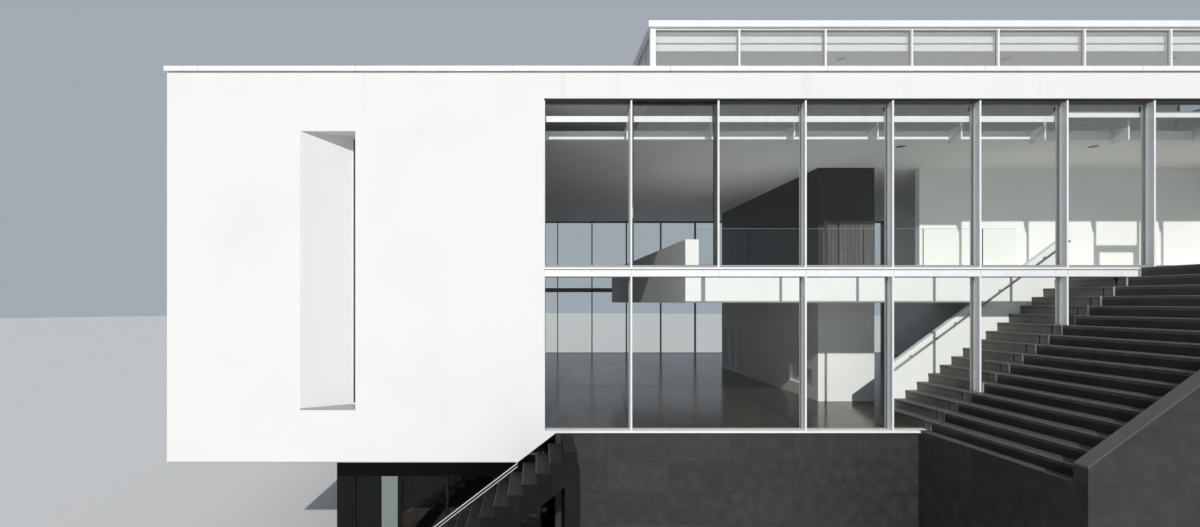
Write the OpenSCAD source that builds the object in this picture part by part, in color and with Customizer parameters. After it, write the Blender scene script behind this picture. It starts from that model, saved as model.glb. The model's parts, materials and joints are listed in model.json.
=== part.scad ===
// Modern house: a white box that hangs over lower ground, beside a two-storey glass front.
// A stone stair climbs along the front and runs through the glass up to the upper floor.
// Millimetres. X runs along the front, Y into the house, Z up from the base.
// Inside the modules x = 0 is the left end of the glass, y = 0 the face of the front wall
// and z = 0 the living floor. The part's origin is the middle of its base.

/* [Glass front] */
// Width of one bay, from mullion to mullion
bay_w = 1672; // [1600:1:1800]
// Number of bays
bays = 10; // [9:1:12]
// Set-back of the mullions from the wall face
frame_set = 20; // [5:1:40]
// Width of a mullion's flanges
flange_w = 32; // [30:1:60]
// Depth of a mullion
mullion_d = 230; // [210:1:235]
// Thickness of a mullion's flanges and web
flange_t = 10; // [8:1:12]
// Distance of the glass's middle behind the mullions' front
glass_set = 165; // [150:1:170]
// Thickness of a glass unit
glass_t = 30; // [20:1:44]
// Height of the head and foot rails of the frames
rail_h = 42; // [35:1:60]
// Height of the fascia between the storeys
transom_h = 127; // [90:1:135]
// Height of the white sill under the lower glass
sill_h = 40; // [30:1:60]
// Reach of the sills behind the mullions
sill_out = 20; // [10:1:30]
// Height of the sill strip on the transom
strip_h = 37; // [30:1:45]
// Height of the shadow groove under the sill strip
groove_h = 8; // [6:1:12]

/* [Entrance door] */
// Bay that the door stands in, counted from 0 at the left
door_bay = 8; // [8:1:8]
// Width of the door leaf
door_w = 1040; // [900:1:1150]
// Height of the door leaf
door_h = 2350; // [2100:1:2600]
// Width of the leaf's stiles and rails
stile_w = 85; // [60:1:110]
// Thickness of the leaf
leaf_t = 60; // [50:1:80]
// Gap round the leaf
leaf_gap = 4; // [3:1:6]
// Diameter of the pull
pull_d = 30; // [24:1:38]
// Height of the pull
pull_h = 1100; // [600:1:1400]
// Height of the pull's middle over the floor
pull_z = 950; // [850:1:1150]

/* [Stair] */
// Height of one riser
riser = 184; // [178:1:190]
// Depth of one tread
tread = 250; // [248:0.5:260]
// Risers in each storey
risers = 17; // [17:1:18]
// Distance from the left end of the glass to the first riser
stair_x = 7400; // [7000:1:7600]
// Reach of the stair in front of the wall face
stair_out = 2900; // [2400:1:3400]
// Reach of the stair behind the wall face
stair_in = 1420; // [1300:1:1600]
// Thickness of the stone treads
tread_t = 60; // [40:1:80]
// Reach of a tread over the riser under it
nosing = 15; // [8:1:30]
// Width of the open joint behind each tread
joint = 5; // [3:1:8]
// Thickness of the stair's concrete under the steps
waist = 160; // [140:1:200]
// Width of the slot in the steps that the glass stands in
slot_w = 40; // [38:1:50]
// Thickness of the wall beside the stair
cheek_t = 200; // [150:1:300]
// Height of the wall beside the stair over the nosings
cheek_h = 200; // [100:1:300]

/* [Stair balustrade] */
// Height of the solid balustrade over the nosings
balustrade_h = 975; // [850:1:1050]
// Thickness of the solid balustrade
balustrade_t = 110; // [80:1:140]
// Distance of its lower end from the first riser
balustrade_x = 110; // [100:1:220]
// Height of the handrail over the nosings
handrail_h = 845; // [700:1:860]
// Diameter of the handrail
handrail_d = 42; // [36:1:50]
// Gap between the handrail and the balustrade
handrail_gap = 45; // [35:1:60]
// Diameter of the handrail's brackets
bracket_d = 14; // [10:1:20]
// Number of the handrail's brackets
brackets = 4; // [3:1:6]

/* [Walls] */
// Length of the white box along the front
box_w = 7210; // [6800:1:8400]
// Depth of the house from face to face
house_d = 15950; // [14800:1:17000]
// Thickness of the solid walls
wall_t = 500; // [440:1:560]
// Thickness of the bands over the glass
band_t = 300; // [280:1:360]
// Height of the glass head over the upper floor
head_h = 3232; // [3100:1:3500]
// Height of the bands over the glass
band_h = 490; // [440:1:600]
// Depth of the box's underside below the living floor
box_drop = 600; // [520:1:800]
// Reach of the front wall's toe under the glass
toe_w = 223; // [180:1:300]
// Gap between the living floor and the toe
toe_gap = 40; // [30:1:60]

/* [Slit niche] */
// Distance of the niche's straight side from the glass
niche_x = 3610; // [3300:1:3700]
// Width of the niche in the wall face
niche_w = 1050; // [800:1:1200]
// Width of the slit window at the back of the niche
slit_w = 213; // [160:1:300]
// Depth of the niche
niche_d = 440; // [380:1:440]
// Height of the niche's foot over the living floor
niche_z = 430; // [300:1:700]
// Height of the niche
niche_h = 5305; // [4800:1:5500]
// Width of the slit window's frame
slit_frame_w = 22; // [15:1:30]

/* [Floors and roof] */
// Thickness of the living floor
floor_t = 300; // [250:1:400]
// Depth of the upper floor's edge
gallery_t = 680; // [500:1:720]
// Distance of the upper floor's left end from the glass
gallery_x = 3100; // [2800:1:3300]
// Distance of the upper floor's far edge from the wall face
gallery_y = 12600; // [11000:1:12800]
// Height of the solid parapet over the upper floor
parapet_h = 702; // [600:1:900]
// Thickness of the solid parapet
parapet_t = 290; // [200:1:320]
// Height of the glass balustrade over the upper floor
guard_h = 942; // [900:1:1100]
// Thickness of the glass balustrade
guard_t = 21; // [17:1:26]
// Set-back of the glass balustrade from the upper floor's edge
guard_set = 40; // [30:1:60]
// Height of the ceiling over the glass head
ceiling_up = 24; // [0:1:60]
// Thickness of the roof slab
roof_t = 240; // [200:1:300]
// Thickness of the boarding under the box
soffit_t = 50; // [30:1:80]
// Thickness of the lower floor
lower_t = 200; // [150:1:300]

/* [Coping] */
// Height of the metal coping
coping_h = 90; // [80:1:130]
// Reach of the coping past the wall face
coping_out = 40; // [25:1:60]
// Height of the dark gap under the coping
coping_gap = 25; // [20:1:40]
// Set-back of the gap's core from the wall face
coping_neck = 45; // [30:1:60]

/* [Roof lantern] */
// Distance of the lantern's first post from the left end of the glass
lantern_x = 2110; // [1800:1:2400]
// Set-back of the lantern's posts from the wall face
lantern_set = 120; // [60:1:150]
// Number of lantern bays
lantern_bays = 8; // [6:1:8]
// Distance of the lantern's back wall from the wall face
lantern_d = 2800; // [2500:1:2900]
// Height of the lantern's glass
lantern_h = 810; // [700:1:900]
// Depth of the lantern's roof edge
lantern_roof_t = 120; // [100:1:200]
// Reach of the lantern's roof past its posts
lantern_eave = 40; // [20:1:80]
// Width of the lantern's corner posts
corner_w = 104; // [80:1:110]
// Depth of the lantern's posts
post_d = 90; // [70:1:110]
// Height of one louvre blade
blade_h = 125; // [110:1:140]
// Thickness of one louvre blade
blade_t = 24; // [16:1:30]
// Distance of the louvre blades behind the posts
blade_gap = 20; // [10:1:40]
// Distance of the top blade's lower edge from the lantern's roof
blade_drop = 82; // [60:1:110]
// Distance from blade to blade
blade_step = 161; // [145:1:170]
// Height of the lantern's foot rail
foot_h = 30; // [20:1:50]
// Thickness of the lantern's glass
lantern_glass_t = 20; // [12:1:28]
// Thickness of the lantern's back wall
lantern_wall_t = 120; // [90:1:160]

/* [Wall behind the upper floor] */
// Distance of its left end from the left end of the glass
back_wall_x = 9380; // [8900:1:9700]
// Thickness of it
back_wall_t = 150; // [100:1:200]

/* [Inner ceiling] */
// Thickness of the hung ceiling
inner_ceiling_t = 190; // [120:1:230]
// Distance of its front edge from the wall face
inner_ceiling_front = 800; // [700:1:900]
// Distance of its back edge from the wall face
inner_ceiling_back = 11700; // [11000:1:12500]
// Gap between it and the white box's left wall
inner_ceiling_gap = 20; // [10:1:50]
// Drop of its brackets under it
bracket_drop = 85; // [50:1:110]
// Thickness of its brackets
bracket_t = 30; // [20:1:45]
// Reach of its brackets in front of it
bracket_out = 330; // [250:1:360]
// Height of the white blade behind the glass head
head_blade_h = 115; // [90:1:130]
// Thickness of the white blade
head_blade_t = 24; // [16:1:30]
// Distance of the blade's top under the glass head
head_blade_drop = 245; // [200:1:260]
// Rise of the blade behind the bays at the right
head_blade_up = 90; // [60:1:100]
// First bay with the raised blade
head_blade_bay = 6; // [5:1:8]

/* [Service core] */
// Distance of the core's left side from the left end of the glass
core_x = 6860; // [6700:1:7000]
// Width of the core
core_w = 1400; // [1300:1:1600]
// Distance of the core's front from the wall face
core_y = 3070; // [2980:1:3200]
// Depth of the core
core_d = 6850; // [6000:1:7000]
// Height of the core over the upper floor
core_h = 2672; // [2500:1:2800]
// Thickness of the core's walls
core_t = 120; // [100:1:150]
// Height of the boarded panel in the core's front
core_panel_h = 1355; // [1200:1:1600]
// Thickness of the boarded panel
core_panel_t = 40; // [25:1:60]
// Depth of the recesses in the core's side
recess_d = 90; // [60:1:95]
// Height of the hearth recess over the living floor
hearth_z = 320; // [250:1:400]
// Height of the hearth recess
hearth_h = 435; // [350:1:600]
// Length of the hearth recess
hearth_w = 1200; // [900:1:1600]
// Distance of the hearth recess from the core's front
hearth_y = 300; // [200:1:500]
// Width of one shelf recess
shelf_w = 560; // [450:1:600]
// Height of the shelf recesses
shelf_h = 1480; // [1200:1:1900]
// Height of the shelf recesses over the living floor
shelf_z = 60; // [40:1:120]
// Distance from one shelf recess to the next
shelf_step = 620; // [610:1:700]
// Distance of the shelf recesses from the core's far end
shelf_y = 1900; // [1880:1:2200]

/* [Lower level] */
// Distance of the lower level's left end from the left end of the glass
lower_x = 4030; // [3800:1:4200]
// Set-back of the lower level's glass from the wall face
lower_set = 1000; // [900:1:1100]
// Width of a bay of the lower level's glass
lower_bay_w = 990; // [960:1:1010]
// Thickness of the lower level's walls
lower_wall_t = 300; // [240:1:360]
// Height of the dark beam over the lower level's glass
beam_h = 590; // [500:1:640]
// Width of the white pier
pier_w = 335; // [280:1:400]
// Set-back of the plinth from the wall face
plinth_set = 60; // [40:1:80]
// Thickness of the plinth
plinth_t = 340; // [310:1:380]

/* [Back glass] */
// Distance of the first back mullion from the left end of the glass
back_bay_x = 925; // [700:1:1400]

/* [Garden stair] */
// Distance of its top riser from the left end of the glass
garden_x = 330; // [300:1:400]
// Depth of its treads
garden_tread = 237; // [234:1:250]
// Its width
garden_w = 1240; // [1000:1:1400]
// Height of the white stringer
stringer_h = 75; // [60:1:110]
// Width of the white stringer
stringer_w = 50; // [40:1:60]
// Thickness of the stringer's web and flanges
stringer_t = 10; // [8:1:15]

/* [Hidden] */

// Levels over the living floor
storey = riser * risers;
head_z = storey + head_h;
wall_top = head_z + band_h;
ceiling_z = head_z + ceiling_up;
roof_z = ceiling_z + roof_t;
coping_z = wall_top + coping_gap;
coping_top = coping_z + coping_h;
lantern_top = coping_top + lantern_h;
lower_z = -storey;
base_z = lower_z - lower_t;
gallery_z = storey - gallery_t;
transom_z = storey - strip_h - groove_h - transom_h;
lower_head = -box_drop - beam_h;
inner_ceiling_z = storey + core_h;
garden_riser = (storey - sill_h) / risers;

// Places along the front
glass_end = bays * bay_w;
right_x = glass_end + wall_t;
stair_top_x = stair_x + (risers - 1) * tread;
lantern_end = lantern_x + lantern_bays * bay_w;
pitch = riser / tread;
garden_foot = garden_x - (risers - 1) * garden_tread;
garden_pitch = garden_riser / garden_tread;
toe_foot_x = toe_w - (box_drop - toe_gap) / garden_pitch;
lower_bays = floor((lower_x + toe_w) / lower_bay_w);

// Door leaf between the mullion on its left and its post
door_x = door_bay * bay_w + flange_w / 2 + leaf_gap;
door_post_x = door_x + door_w + leaf_gap;
door_top = storey + leaf_gap + door_h;

// Numbers of the marks with a lower mullion: one wide pane has none at its middle
lower_marks = [for (i = [1:bays - 1]) if (i != 2 && i * bay_w < stair_top_x - tread) i];

// Faces of the back mullions that the panes lie between, from left to right
back_marks = [for (i = [0:bays - 1]) back_bay_x + i * bay_w];

// Places in depth
frame_back = frame_set + mullion_d;
glass_y = frame_set + glass_set;
plinth_back = plinth_set + plinth_t;
back_y = house_d - frame_set;
stair_front = -stair_out - cheek_t;
gallery_front = stair_in + balustrade_t;
end_posts = [for (f = [0.3, 0.54, 0.77]) f * lantern_d];
blade_y = lantern_set + post_d + blade_gap;

// Middle of the plan
x_mid = (right_x - box_w) / 2;
y_mid = (house_d + coping_out + stair_front) / 2;

// Puts the house's own axes into the frame of the part
module placed() {
    translate([-x_mid, -y_mid, -base_z]) children();
}

// A box from its lowest to its highest corner
module block(low, high) {
    translate(low) cube(high - low);
}

// An outline drawn in X and Z, carried from y0 back to y1
module across(y0, y1) {
    translate([0, y1, 0]) rotate([90, 0, 0]) linear_extrude(y1 - y0) children();
}

// Outline of the stepped line of the main stair down to a level, under its treads
module stepped_wall(from_x, to_x, foot_z, sill_z) {
    steps = [for (k = [0:risers - 1]) for (up = [0, 1])
        [stair_x + k * tread, max(sill_z, (k + up) * riser - tread_t)]];
    polygon(concat([[from_x, foot_z], [from_x, sill_z]], steps,
        [[to_x, storey - tread_t], [to_x, foot_z]]));
}

// Space over the stepped line, which the lower glass fills
module over_steps() {
    difference() {
        translate([0, 0]) square([stair_top_x, transom_z]);
        stepped_wall(stair_x - 1, right_x, -storey, 0);
    }
}

// The white box

// Plan of the niche, with one splayed and one straight side
module niche_plan() {
    polygon([
        [-niche_x - niche_w, -1], [-niche_x - niche_w, 0], [-niche_x - slit_w, niche_d],
        [-niche_x, niche_d], [-niche_x, -1]
    ]);
}

module front_wall() {
    color("white") placed() difference() {
        across(0, wall_t) polygon([
            [-box_w, -box_drop], [toe_foot_x, -box_drop], [toe_w, -toe_gap],
            [0, -toe_gap], [0, wall_top], [-box_w, wall_top]
        ]);
        translate([0, 0, niche_z]) linear_extrude(niche_h) niche_plan();
        block([-niche_x - slit_w, niche_d - 1, niche_z],
            [-niche_x, wall_t + 1, niche_z + niche_h]);
        block([-box_w - 1, band_t, roof_z], [1, wall_t + 1, wall_top + 1]);
        block([0, plinth_back, -box_drop - 1], [toe_w + 1, wall_t + 1, -toe_gap + 1]);
    }
}

module slit_frame() {
    color("gainsboro") placed() difference() {
        block([-niche_x - slit_w, niche_d, niche_z], [-niche_x, wall_t, niche_z + niche_h]);
        block([-niche_x - slit_w + slit_frame_w, niche_d - 1, niche_z + slit_frame_w],
            [-niche_x - slit_frame_w, wall_t + 1, niche_z + niche_h - slit_frame_w]);
    }
}

module slit_glass() {
    mid = (niche_d + wall_t) / 2;
    color("slategray", 0.5) placed()
        block([-niche_x - slit_w + slit_frame_w, mid - glass_t / 2, niche_z + slit_frame_w],
            [-niche_x - slit_frame_w, mid + glass_t / 2, niche_z + niche_h - slit_frame_w]);
}

module left_wall() {
    color("white") placed() difference() {
        block([-box_w, wall_t, -box_drop], [-box_w + wall_t, house_d - wall_t, wall_top]);
        block([-box_w + band_t, wall_t - 1, roof_z],
            [-box_w + wall_t + 1, house_d - wall_t + 1, wall_top + 1]);
    }
}

module back_wall() {
    color("white") placed() difference() {
        block([-box_w, house_d - wall_t, -box_drop], [0, house_d, wall_top]);
        block([-box_w + band_t, house_d - wall_t - 1, roof_z],
            [1, house_d - band_t, wall_top + 1]);
    }
}

module right_wall() {
    color("white") placed() difference() {
        block([glass_end, 0, base_z + lower_t], [right_x, house_d, wall_top]);
        block([glass_end - 1, band_t, roof_z],
            [right_x - band_t, house_d - band_t, wall_top + 1]);
    }
}

module front_band() {
    color("white") placed() block([0, 0, head_z], [glass_end, band_t, wall_top]);
}

module back_band() {
    color("white") placed()
        block([0, house_d - band_t, head_z], [glass_end, house_d, wall_top]);
}

// Ring of coping around the roof, between two levels
module coping_ring(outer, inner, z0, z1) {
    translate([0, 0, z0]) linear_extrude(z1 - z0) difference() {
        translate([-box_w - outer, -outer])
            square([box_w + right_x + 2 * outer, house_d + 2 * outer]);
        translate([-box_w + inner, inner])
            square([box_w + right_x - 2 * inner, house_d - 2 * inner]);
    }
}

module coping() {
    color("gainsboro") placed() {
        coping_ring(-coping_neck, band_t - coping_neck, wall_top, coping_z + 1);
        coping_ring(coping_out, band_t + coping_out, coping_z, coping_top);
    }
}

module roof_slab() {
    color("whitesmoke") placed() difference() {
        union() {
            block([-box_w + wall_t, wall_t, ceiling_z], [0, house_d - wall_t, roof_z]);
            block([0, band_t, ceiling_z], [glass_end, house_d - band_t, roof_z]);
        }
        block([lantern_x, band_t - 1, ceiling_z - 1], [lantern_end, lantern_d, roof_z + 1]);
    }
}

module box_floor() {
    color("dimgray") placed()
        block([-box_w + wall_t, wall_t, -floor_t], [0, house_d - wall_t, 0]);
}

module box_soffit() {
    color("white") placed()
        block([-box_w + wall_t, wall_t, -box_drop],
            [0, house_d - wall_t, -box_drop + soffit_t]);
}

// Floors, plinth and lower level

// Living floor, with its finish run up to the sill under the glass
module living_floor() {
    color("dimgray") placed() {
        block([0, plinth_back, -floor_t], [glass_end, house_d - plinth_back, 0]);
        block([0, frame_back + sill_out, -sill_h], [stair_x, plinth_back + 1, 0]);
    }
}

module lower_floor() {
    color("gray") placed()
        block([-lower_x - lower_wall_t, plinth_set, base_z],
            [right_x, house_d - plinth_set, lower_z]);
}

module front_plinth() {
    color("dimgray") placed() across(plinth_set, plinth_back)
        stepped_wall(toe_w, glass_end, lower_z, -sill_h);
}

module back_plinth() {
    color("dimgray") placed() across(house_d - plinth_back, house_d - plinth_set) polygon([
        [-lower_x - lower_wall_t, lower_z], [glass_end, lower_z], [glass_end, -sill_h],
        [0, -sill_h], [0, -box_drop], [-lower_x - lower_wall_t, -box_drop]
    ]);
}

// Walls of the lower level at its left end and behind the plinth's end
module lower_walls() {
    color("dimgray") placed() {
        block([-lower_x - lower_wall_t, lower_set, lower_z],
            [-lower_x, house_d - plinth_back, -box_drop]);
        block([toe_w, plinth_back, lower_z],
            [toe_w + lower_wall_t, lower_set + mullion_d, -floor_t]);
    }
}

module lower_pier() {
    pier_x = -lower_x + lower_bay_w - flange_w / 2;
    color("white") placed()
        block([pier_x - pier_w, lower_set, lower_z],
            [pier_x, lower_set + mullion_d, -box_drop - beam_h]);
}

// Upright of H section: two flanges and a web
module mullion(z0, z1) {
    translate([-flange_w / 2, 0, z0]) linear_extrude(z1 - z0) {
        square([flange_w, flange_t]);
        translate([0, mullion_d - flange_t]) square([flange_w, flange_t]);
        translate([(flange_w - flange_t) / 2, 0]) square([flange_t, mullion_d]);
    }
}

// Dark beam over the lower glass, with the mullions under it
module lower_frame() {
    color("darkslategray") placed() {
        block([-lower_x, lower_set, lower_head], [0, lower_set + mullion_d, -box_drop]);
        block([-1, lower_set, lower_head], [toe_w, lower_set + mullion_d, -floor_t]);
        for (i = [0:lower_bays])
            translate([-lower_x + flange_w / 2 + i * lower_bay_w, lower_set, 0])
                mullion(lower_z, lower_head + 1);
    }
}

module lower_glass() {
    mid = lower_set + mullion_d / 2;
    web = (flange_w + flange_t) / 2;
    pier_x = lower_bay_w - flange_w / 2 - pier_w;
    color("slategray", 0.5) placed() for (i = [0:lower_bays - 1]) {
        end_x = i == 0 ? pier_x : (i + 1) * lower_bay_w + (flange_w - flange_t) / 2;
        block([-lower_x + i * lower_bay_w + web, mid - glass_t / 2, lower_z],
            [-lower_x + end_x, mid + glass_t / 2, lower_head]);
    }
}

// Glass front

// Uprights of the upper storey, with a post beside the door
module upper_front_mullions() {
    color("white") placed() translate([0, frame_set, 0]) {
        for (i = [1:bays - 1]) translate([i * bay_w, 0, 0]) mullion(storey, head_z);
        block([0, 0, storey], [flange_w / 2, mullion_d, head_z]);
        block([glass_end - flange_w / 2, 0, storey], [glass_end, mullion_d, head_z]);
        block([door_post_x, flange_t, storey],
            [door_post_x + flange_w, mullion_d - flange_t, head_z - rail_h]);
    }
}

// Faces of the uprights that a bay of the upper storey lies between
function bay_start(i) = i == 0 ? flange_w / 2 : i * bay_w + flange_t / 2;
function bay_end(i) = i == bays - 1 ? glass_end - flange_w / 2 : (i + 1) * bay_w - flange_t / 2;

// A bar between the flanges of the uprights
module rail(low_x, high_x, low_z, high_z) {
    block([low_x, frame_set + flange_t, low_z], [high_x, frame_back - flange_t, high_z]);
}

// Head and foot rails of the upper storey, and the bar over the door
module upper_front_rails() {
    foot_top = storey + rail_h;
    color("white") placed() {
        for (i = [0:bays - 1]) {
            rail(bay_start(i), bay_end(i), head_z - rail_h, head_z);
            if (i != door_bay) rail(bay_start(i), bay_end(i), storey, foot_top);
        }
        rail(door_post_x + flange_w, bay_end(door_bay), storey, foot_top);
        rail(bay_start(door_bay), door_post_x, door_top + leaf_gap,
            door_top + leaf_gap + flange_w);
    }
}

// A pane in the plane of the front glass
module pane(low_x, high_x, low_z, high_z) {
    block([low_x, glass_y - glass_t / 2, low_z], [high_x, glass_y + glass_t / 2, high_z]);
}

// Panes of the upper storey: beside, over and in the door, and one in each other bay
module upper_front_glass() {
    top = head_z - rail_h;
    color("slategray", 0.5) placed() {
        for (i = [0:bays - 1])
            if (i != door_bay) pane(bay_start(i), bay_end(i), storey + rail_h, top);
        pane(door_post_x + flange_w, bay_end(door_bay), storey + rail_h, top);
        pane(bay_start(door_bay), door_post_x, door_top + leaf_gap + flange_w, top);
        pane(door_x + stile_w, door_x + door_w - stile_w, storey + leaf_gap + stile_w,
            door_top - stile_w);
    }
}

// Door leaf: stiles, rails and an upright pull on each side
module entrance_door() {
    pull_low = storey + pull_z - pull_h / 2;
    pull_x = door_x + door_w - stile_w / 2;
    stand_off = pull_d * 1.5;
    color("white") placed() {
        across(glass_y - leaf_t / 2, glass_y + leaf_t / 2) difference() {
            translate([door_x, storey + leaf_gap]) square([door_w, door_h]);
            translate([door_x + stile_w, storey + leaf_gap + stile_w])
                square([door_w - 2 * stile_w, door_h - 2 * stile_w]);
        }
        for (side = [-1, 1]) {
            translate([pull_x, glass_y + side * (leaf_t / 2 + stand_off), pull_low])
                cylinder(h = pull_h, d = pull_d, $fn = 32);
            for (up = [1 / 6, 5 / 6])
                translate([pull_x, glass_y + side * leaf_t / 2, pull_low + up * pull_h])
                    rotate([-90 * side, 0, 0]) cylinder(h = stand_off, d = pull_d / 2, $fn = 24);
        }
    }
}

// Level of the step that stands under a place along the front
function step_z(x) = x < stair_x ? 0 : min(risers, 1 + floor((x - stair_x) / tread)) * riser;

// Uprights of the lower storey: they stand on the sill or on a tread
module lower_front_mullions() {
    color("white") placed() translate([0, frame_set, 0]) {
        for (i = lower_marks) translate([i * bay_w, 0, 0]) mullion(step_z(i * bay_w), transom_z);
        block([0, 0, 0], [flange_w / 2, mullion_d, transom_z]);
    }
}

module front_sill() {
    color("white") placed()
        block([0, 0, -sill_h], [stair_x, frame_back + sill_out, 0]);
}

module lower_front_glass() {
    marks = concat([0], lower_marks);
    color("slategray", 0.5) placed() for (j = [0:len(marks) - 1]) {
        a = j == 0 ? flange_w / 2 : marks[j] * bay_w + flange_t / 2;
        b = j == len(marks) - 1 ? stair_top_x : marks[j + 1] * bay_w - flange_t / 2;
        across(glass_y - glass_t / 2, glass_y + glass_t / 2) intersection() {
            over_steps();
            translate([a, 0]) square([b - a, transom_z]);
        }
    }
}

// Band between the storeys: a fascia, a shadow groove and a sill strip
module front_transom() {
    strip_z = storey - strip_h;
    rear_y = frame_back + sill_out;
    color("white") placed() {
        block([0, frame_set, transom_z], [stair_top_x, frame_back, strip_z - groove_h]);
        block([0, frame_set + groove_h, strip_z - groove_h - 1],
            [stair_top_x, frame_back - groove_h, strip_z + 1]);
        block([0, 0, strip_z], [stair_top_x - nosing, rear_y, storey]);
        block([stair_top_x + tread, 0, storey - tread_t], [glass_end, rear_y, storey]);
    }
}

// Back front: full-height dark mullions with a transom in each bay

// Start and end of each back bay between the uprights
function back_start(i) = i == 0 ? flange_w / 2 : back_marks[i - 1] + flange_t / 2;
function back_end(i) = i == bays ? glass_end - flange_w / 2 : back_marks[i] - flange_t / 2;

module back_mullions() {
    color("darkslategray") placed() translate([0, back_y - mullion_d, 0]) {
        for (x = back_marks) translate([x, 0, 0]) mullion(0, head_z);
        for (x = [0, glass_end - flange_w / 2])
            block([x, 0, 0], [x + flange_w / 2, mullion_d, head_z]);
    }
}

// Sill, and a transom and a head rail in each bay
module back_rails() {
    color("darkslategray") placed() {
        block([0, house_d - plinth_back, -sill_h], [glass_end, back_y, 0]);
        for (i = [0:bays]) for (z = [[transom_z, storey], [head_z - rail_h, head_z]])
            block([back_start(i), back_y - mullion_d + flange_t, z[0]],
                [back_end(i), back_y - flange_t, z[1]]);
    }
}

module back_glass() {
    mid = back_y - glass_set;
    color("slategray", 0.5) placed()
        for (i = [0:bays]) for (z = [[0, transom_z], [storey, head_z - rail_h]])
            block([back_start(i), mid - glass_t / 2, z[0]], [back_end(i), mid + glass_t / 2, z[1]]);
}

// Hung ceiling, with its brackets and the blade behind the glass head

module inner_ceiling() {
    color("whitesmoke") placed()
        block([-box_w + wall_t + inner_ceiling_gap, inner_ceiling_front, inner_ceiling_z],
            [glass_end, inner_ceiling_back, inner_ceiling_z + inner_ceiling_t]);
}

// A blade in each bay, on arms from brackets that stand in line with the mullions
module head_blades() {
    hang_y = inner_ceiling_front - bracket_out;
    blade_front = frame_back + sill_out;
    blade_back = blade_front + head_blade_t;
    low_z = inner_ceiling_z - bracket_drop;
    color("white") placed() for (i = [0:bays]) {
        x = i == 0 ? bracket_t / 2 : i == bays ? glass_end - bracket_t / 2 : i * bay_w;
        top = head_z - head_blade_drop + (i < head_blade_bay ? 0 : head_blade_up);
        arm_top = top - head_blade_h / 3;
        block([x - bracket_t / 2, hang_y, low_z],
            [x + bracket_t / 2, inner_ceiling_front, inner_ceiling_z + inner_ceiling_t]);
        block([x - bracket_t / 2, hang_y, low_z],
            [x + bracket_t / 2, hang_y + bracket_t, arm_top]);
        block([x - bracket_t / 2, blade_back - 1, arm_top - head_blade_t],
            [x + bracket_t / 2, hang_y + bracket_t, arm_top]);
        if (i < bays) block([x - bracket_t / 2, blade_front, top - head_blade_h],
            [(i + 1) * bay_w - bracket_t / 2 - joint, blade_back, top]);
    }
}

// Upper floor

module gallery_slab() {
    color("whitesmoke") placed()
        block([gallery_x, gallery_front, gallery_z], [glass_end, gallery_y, storey]);
}

// Outline of the solid balustrade, from the living floor up to a line along the pitch
module balustrade_outline() {
    low_x = stair_x + balustrade_x;
    low_z = balustrade_h + pitch * balustrade_x;
    polygon([
        [low_x, 0], [low_x, low_z], [stair_top_x, balustrade_h + pitch * (stair_top_x - stair_x)],
        [stair_top_x, 0]
    ]);
}

module gallery_fascia() {
    color("white") placed() across(stair_in, gallery_front) difference() {
        translate([gallery_x, gallery_z])
            square([stair_top_x + tread - gallery_x, gallery_t]);
        balustrade_outline();
    }
}

module gallery_parapet() {
    color("white") placed()
        block([gallery_x, stair_in, storey],
            [gallery_x + parapet_t, gallery_y, storey + parapet_h]);
}

module gallery_guard() {
    open_x = stair_x + (storey - balustrade_h) / pitch;
    color("slategray", 0.5) placed() {
        block([gallery_x + parapet_t, stair_in + guard_set, storey],
            [open_x, stair_in + guard_set + guard_t, storey + guard_h]);
        block([gallery_x + parapet_t, gallery_y - guard_set - guard_t, storey],
            [glass_end, gallery_y - guard_set, storey + guard_h]);
    }
}

// Wall in line with the core's front, up to the hung ceiling
module gallery_wall() {
    color("white") placed()
        block([back_wall_x, core_y, storey], [glass_end, core_y + back_wall_t, inner_ceiling_z]);
}

// Plan of the core's walls
module core_plan() {
    difference() {
        translate([core_x, core_y]) square([core_w, core_d]);
        translate([core_x + core_t, core_y + core_t])
            square([core_w - 2 * core_t, core_d - 2 * core_t]);
    }
}

module core_lower() {
    color("gainsboro") placed() difference() {
        linear_extrude(gallery_z) core_plan();
        translate([core_x - 1, core_y + hearth_y, hearth_z])
            cube([recess_d + 1, hearth_w, hearth_h]);
        for (i = [0:2])
            translate([core_x - 1, core_y + core_d - shelf_y + i * shelf_step, shelf_z])
                cube([recess_d + 1, shelf_w, shelf_h]);
    }
}

module core_upper() {
    top = inner_ceiling_z;
    color("black") placed() difference() {
        union() {
            translate([0, 0, storey]) linear_extrude(core_h) core_plan();
            block([core_x + 1, core_y + 1, top - core_t],
                [core_x + core_w - 1, core_y + core_d - 1, top]);
        }
        block([core_x + core_t, core_y - 1, storey - 1],
            [core_x + core_w - core_t, core_y + core_t + 1, storey + core_panel_h]);
    }
}

module core_panel() {
    color("gray") placed()
        block([core_x + core_t, core_y + core_panel_t, storey],
            [core_x + core_w - core_t, core_y + 2 * core_panel_t, storey + core_panel_h]);
}

// Main stair

// Outline of the concrete under the steps
module flight_outline() {
    steps = [for (k = [0:risers - 1]) for (up = [0, 1])
        [stair_x + k * tread, max(-waist, (k + up) * riser - tread_t)]];
    polygon(concat(steps, [
        [stair_top_x + tread, storey - tread_t],
        [stair_top_x + tread, storey - tread_t - waist - riser],
        [stair_x + tread, -waist - tread_t], [stair_x, -waist - tread_t]
    ]));
}

// Concrete of the stair outside and inside the plinth
module stair_flight() {
    color("dimgray") placed() {
        across(-stair_out, plinth_set) flight_outline();
        across(plinth_back, stair_in) difference() {
            flight_outline();
            translate([0, -storey]) square([right_x, storey]);
        }
    }
}

// Stone slabs of the steps between two depths
module step_slabs(y0, y1) {
    for (k = [0:risers - 1])
        block([stair_x + k * tread - nosing, y0, (k + 1) * riser - tread_t],
            [stair_x + (k + 1) * tread - joint, y1, (k + 1) * riser]);
}

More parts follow.
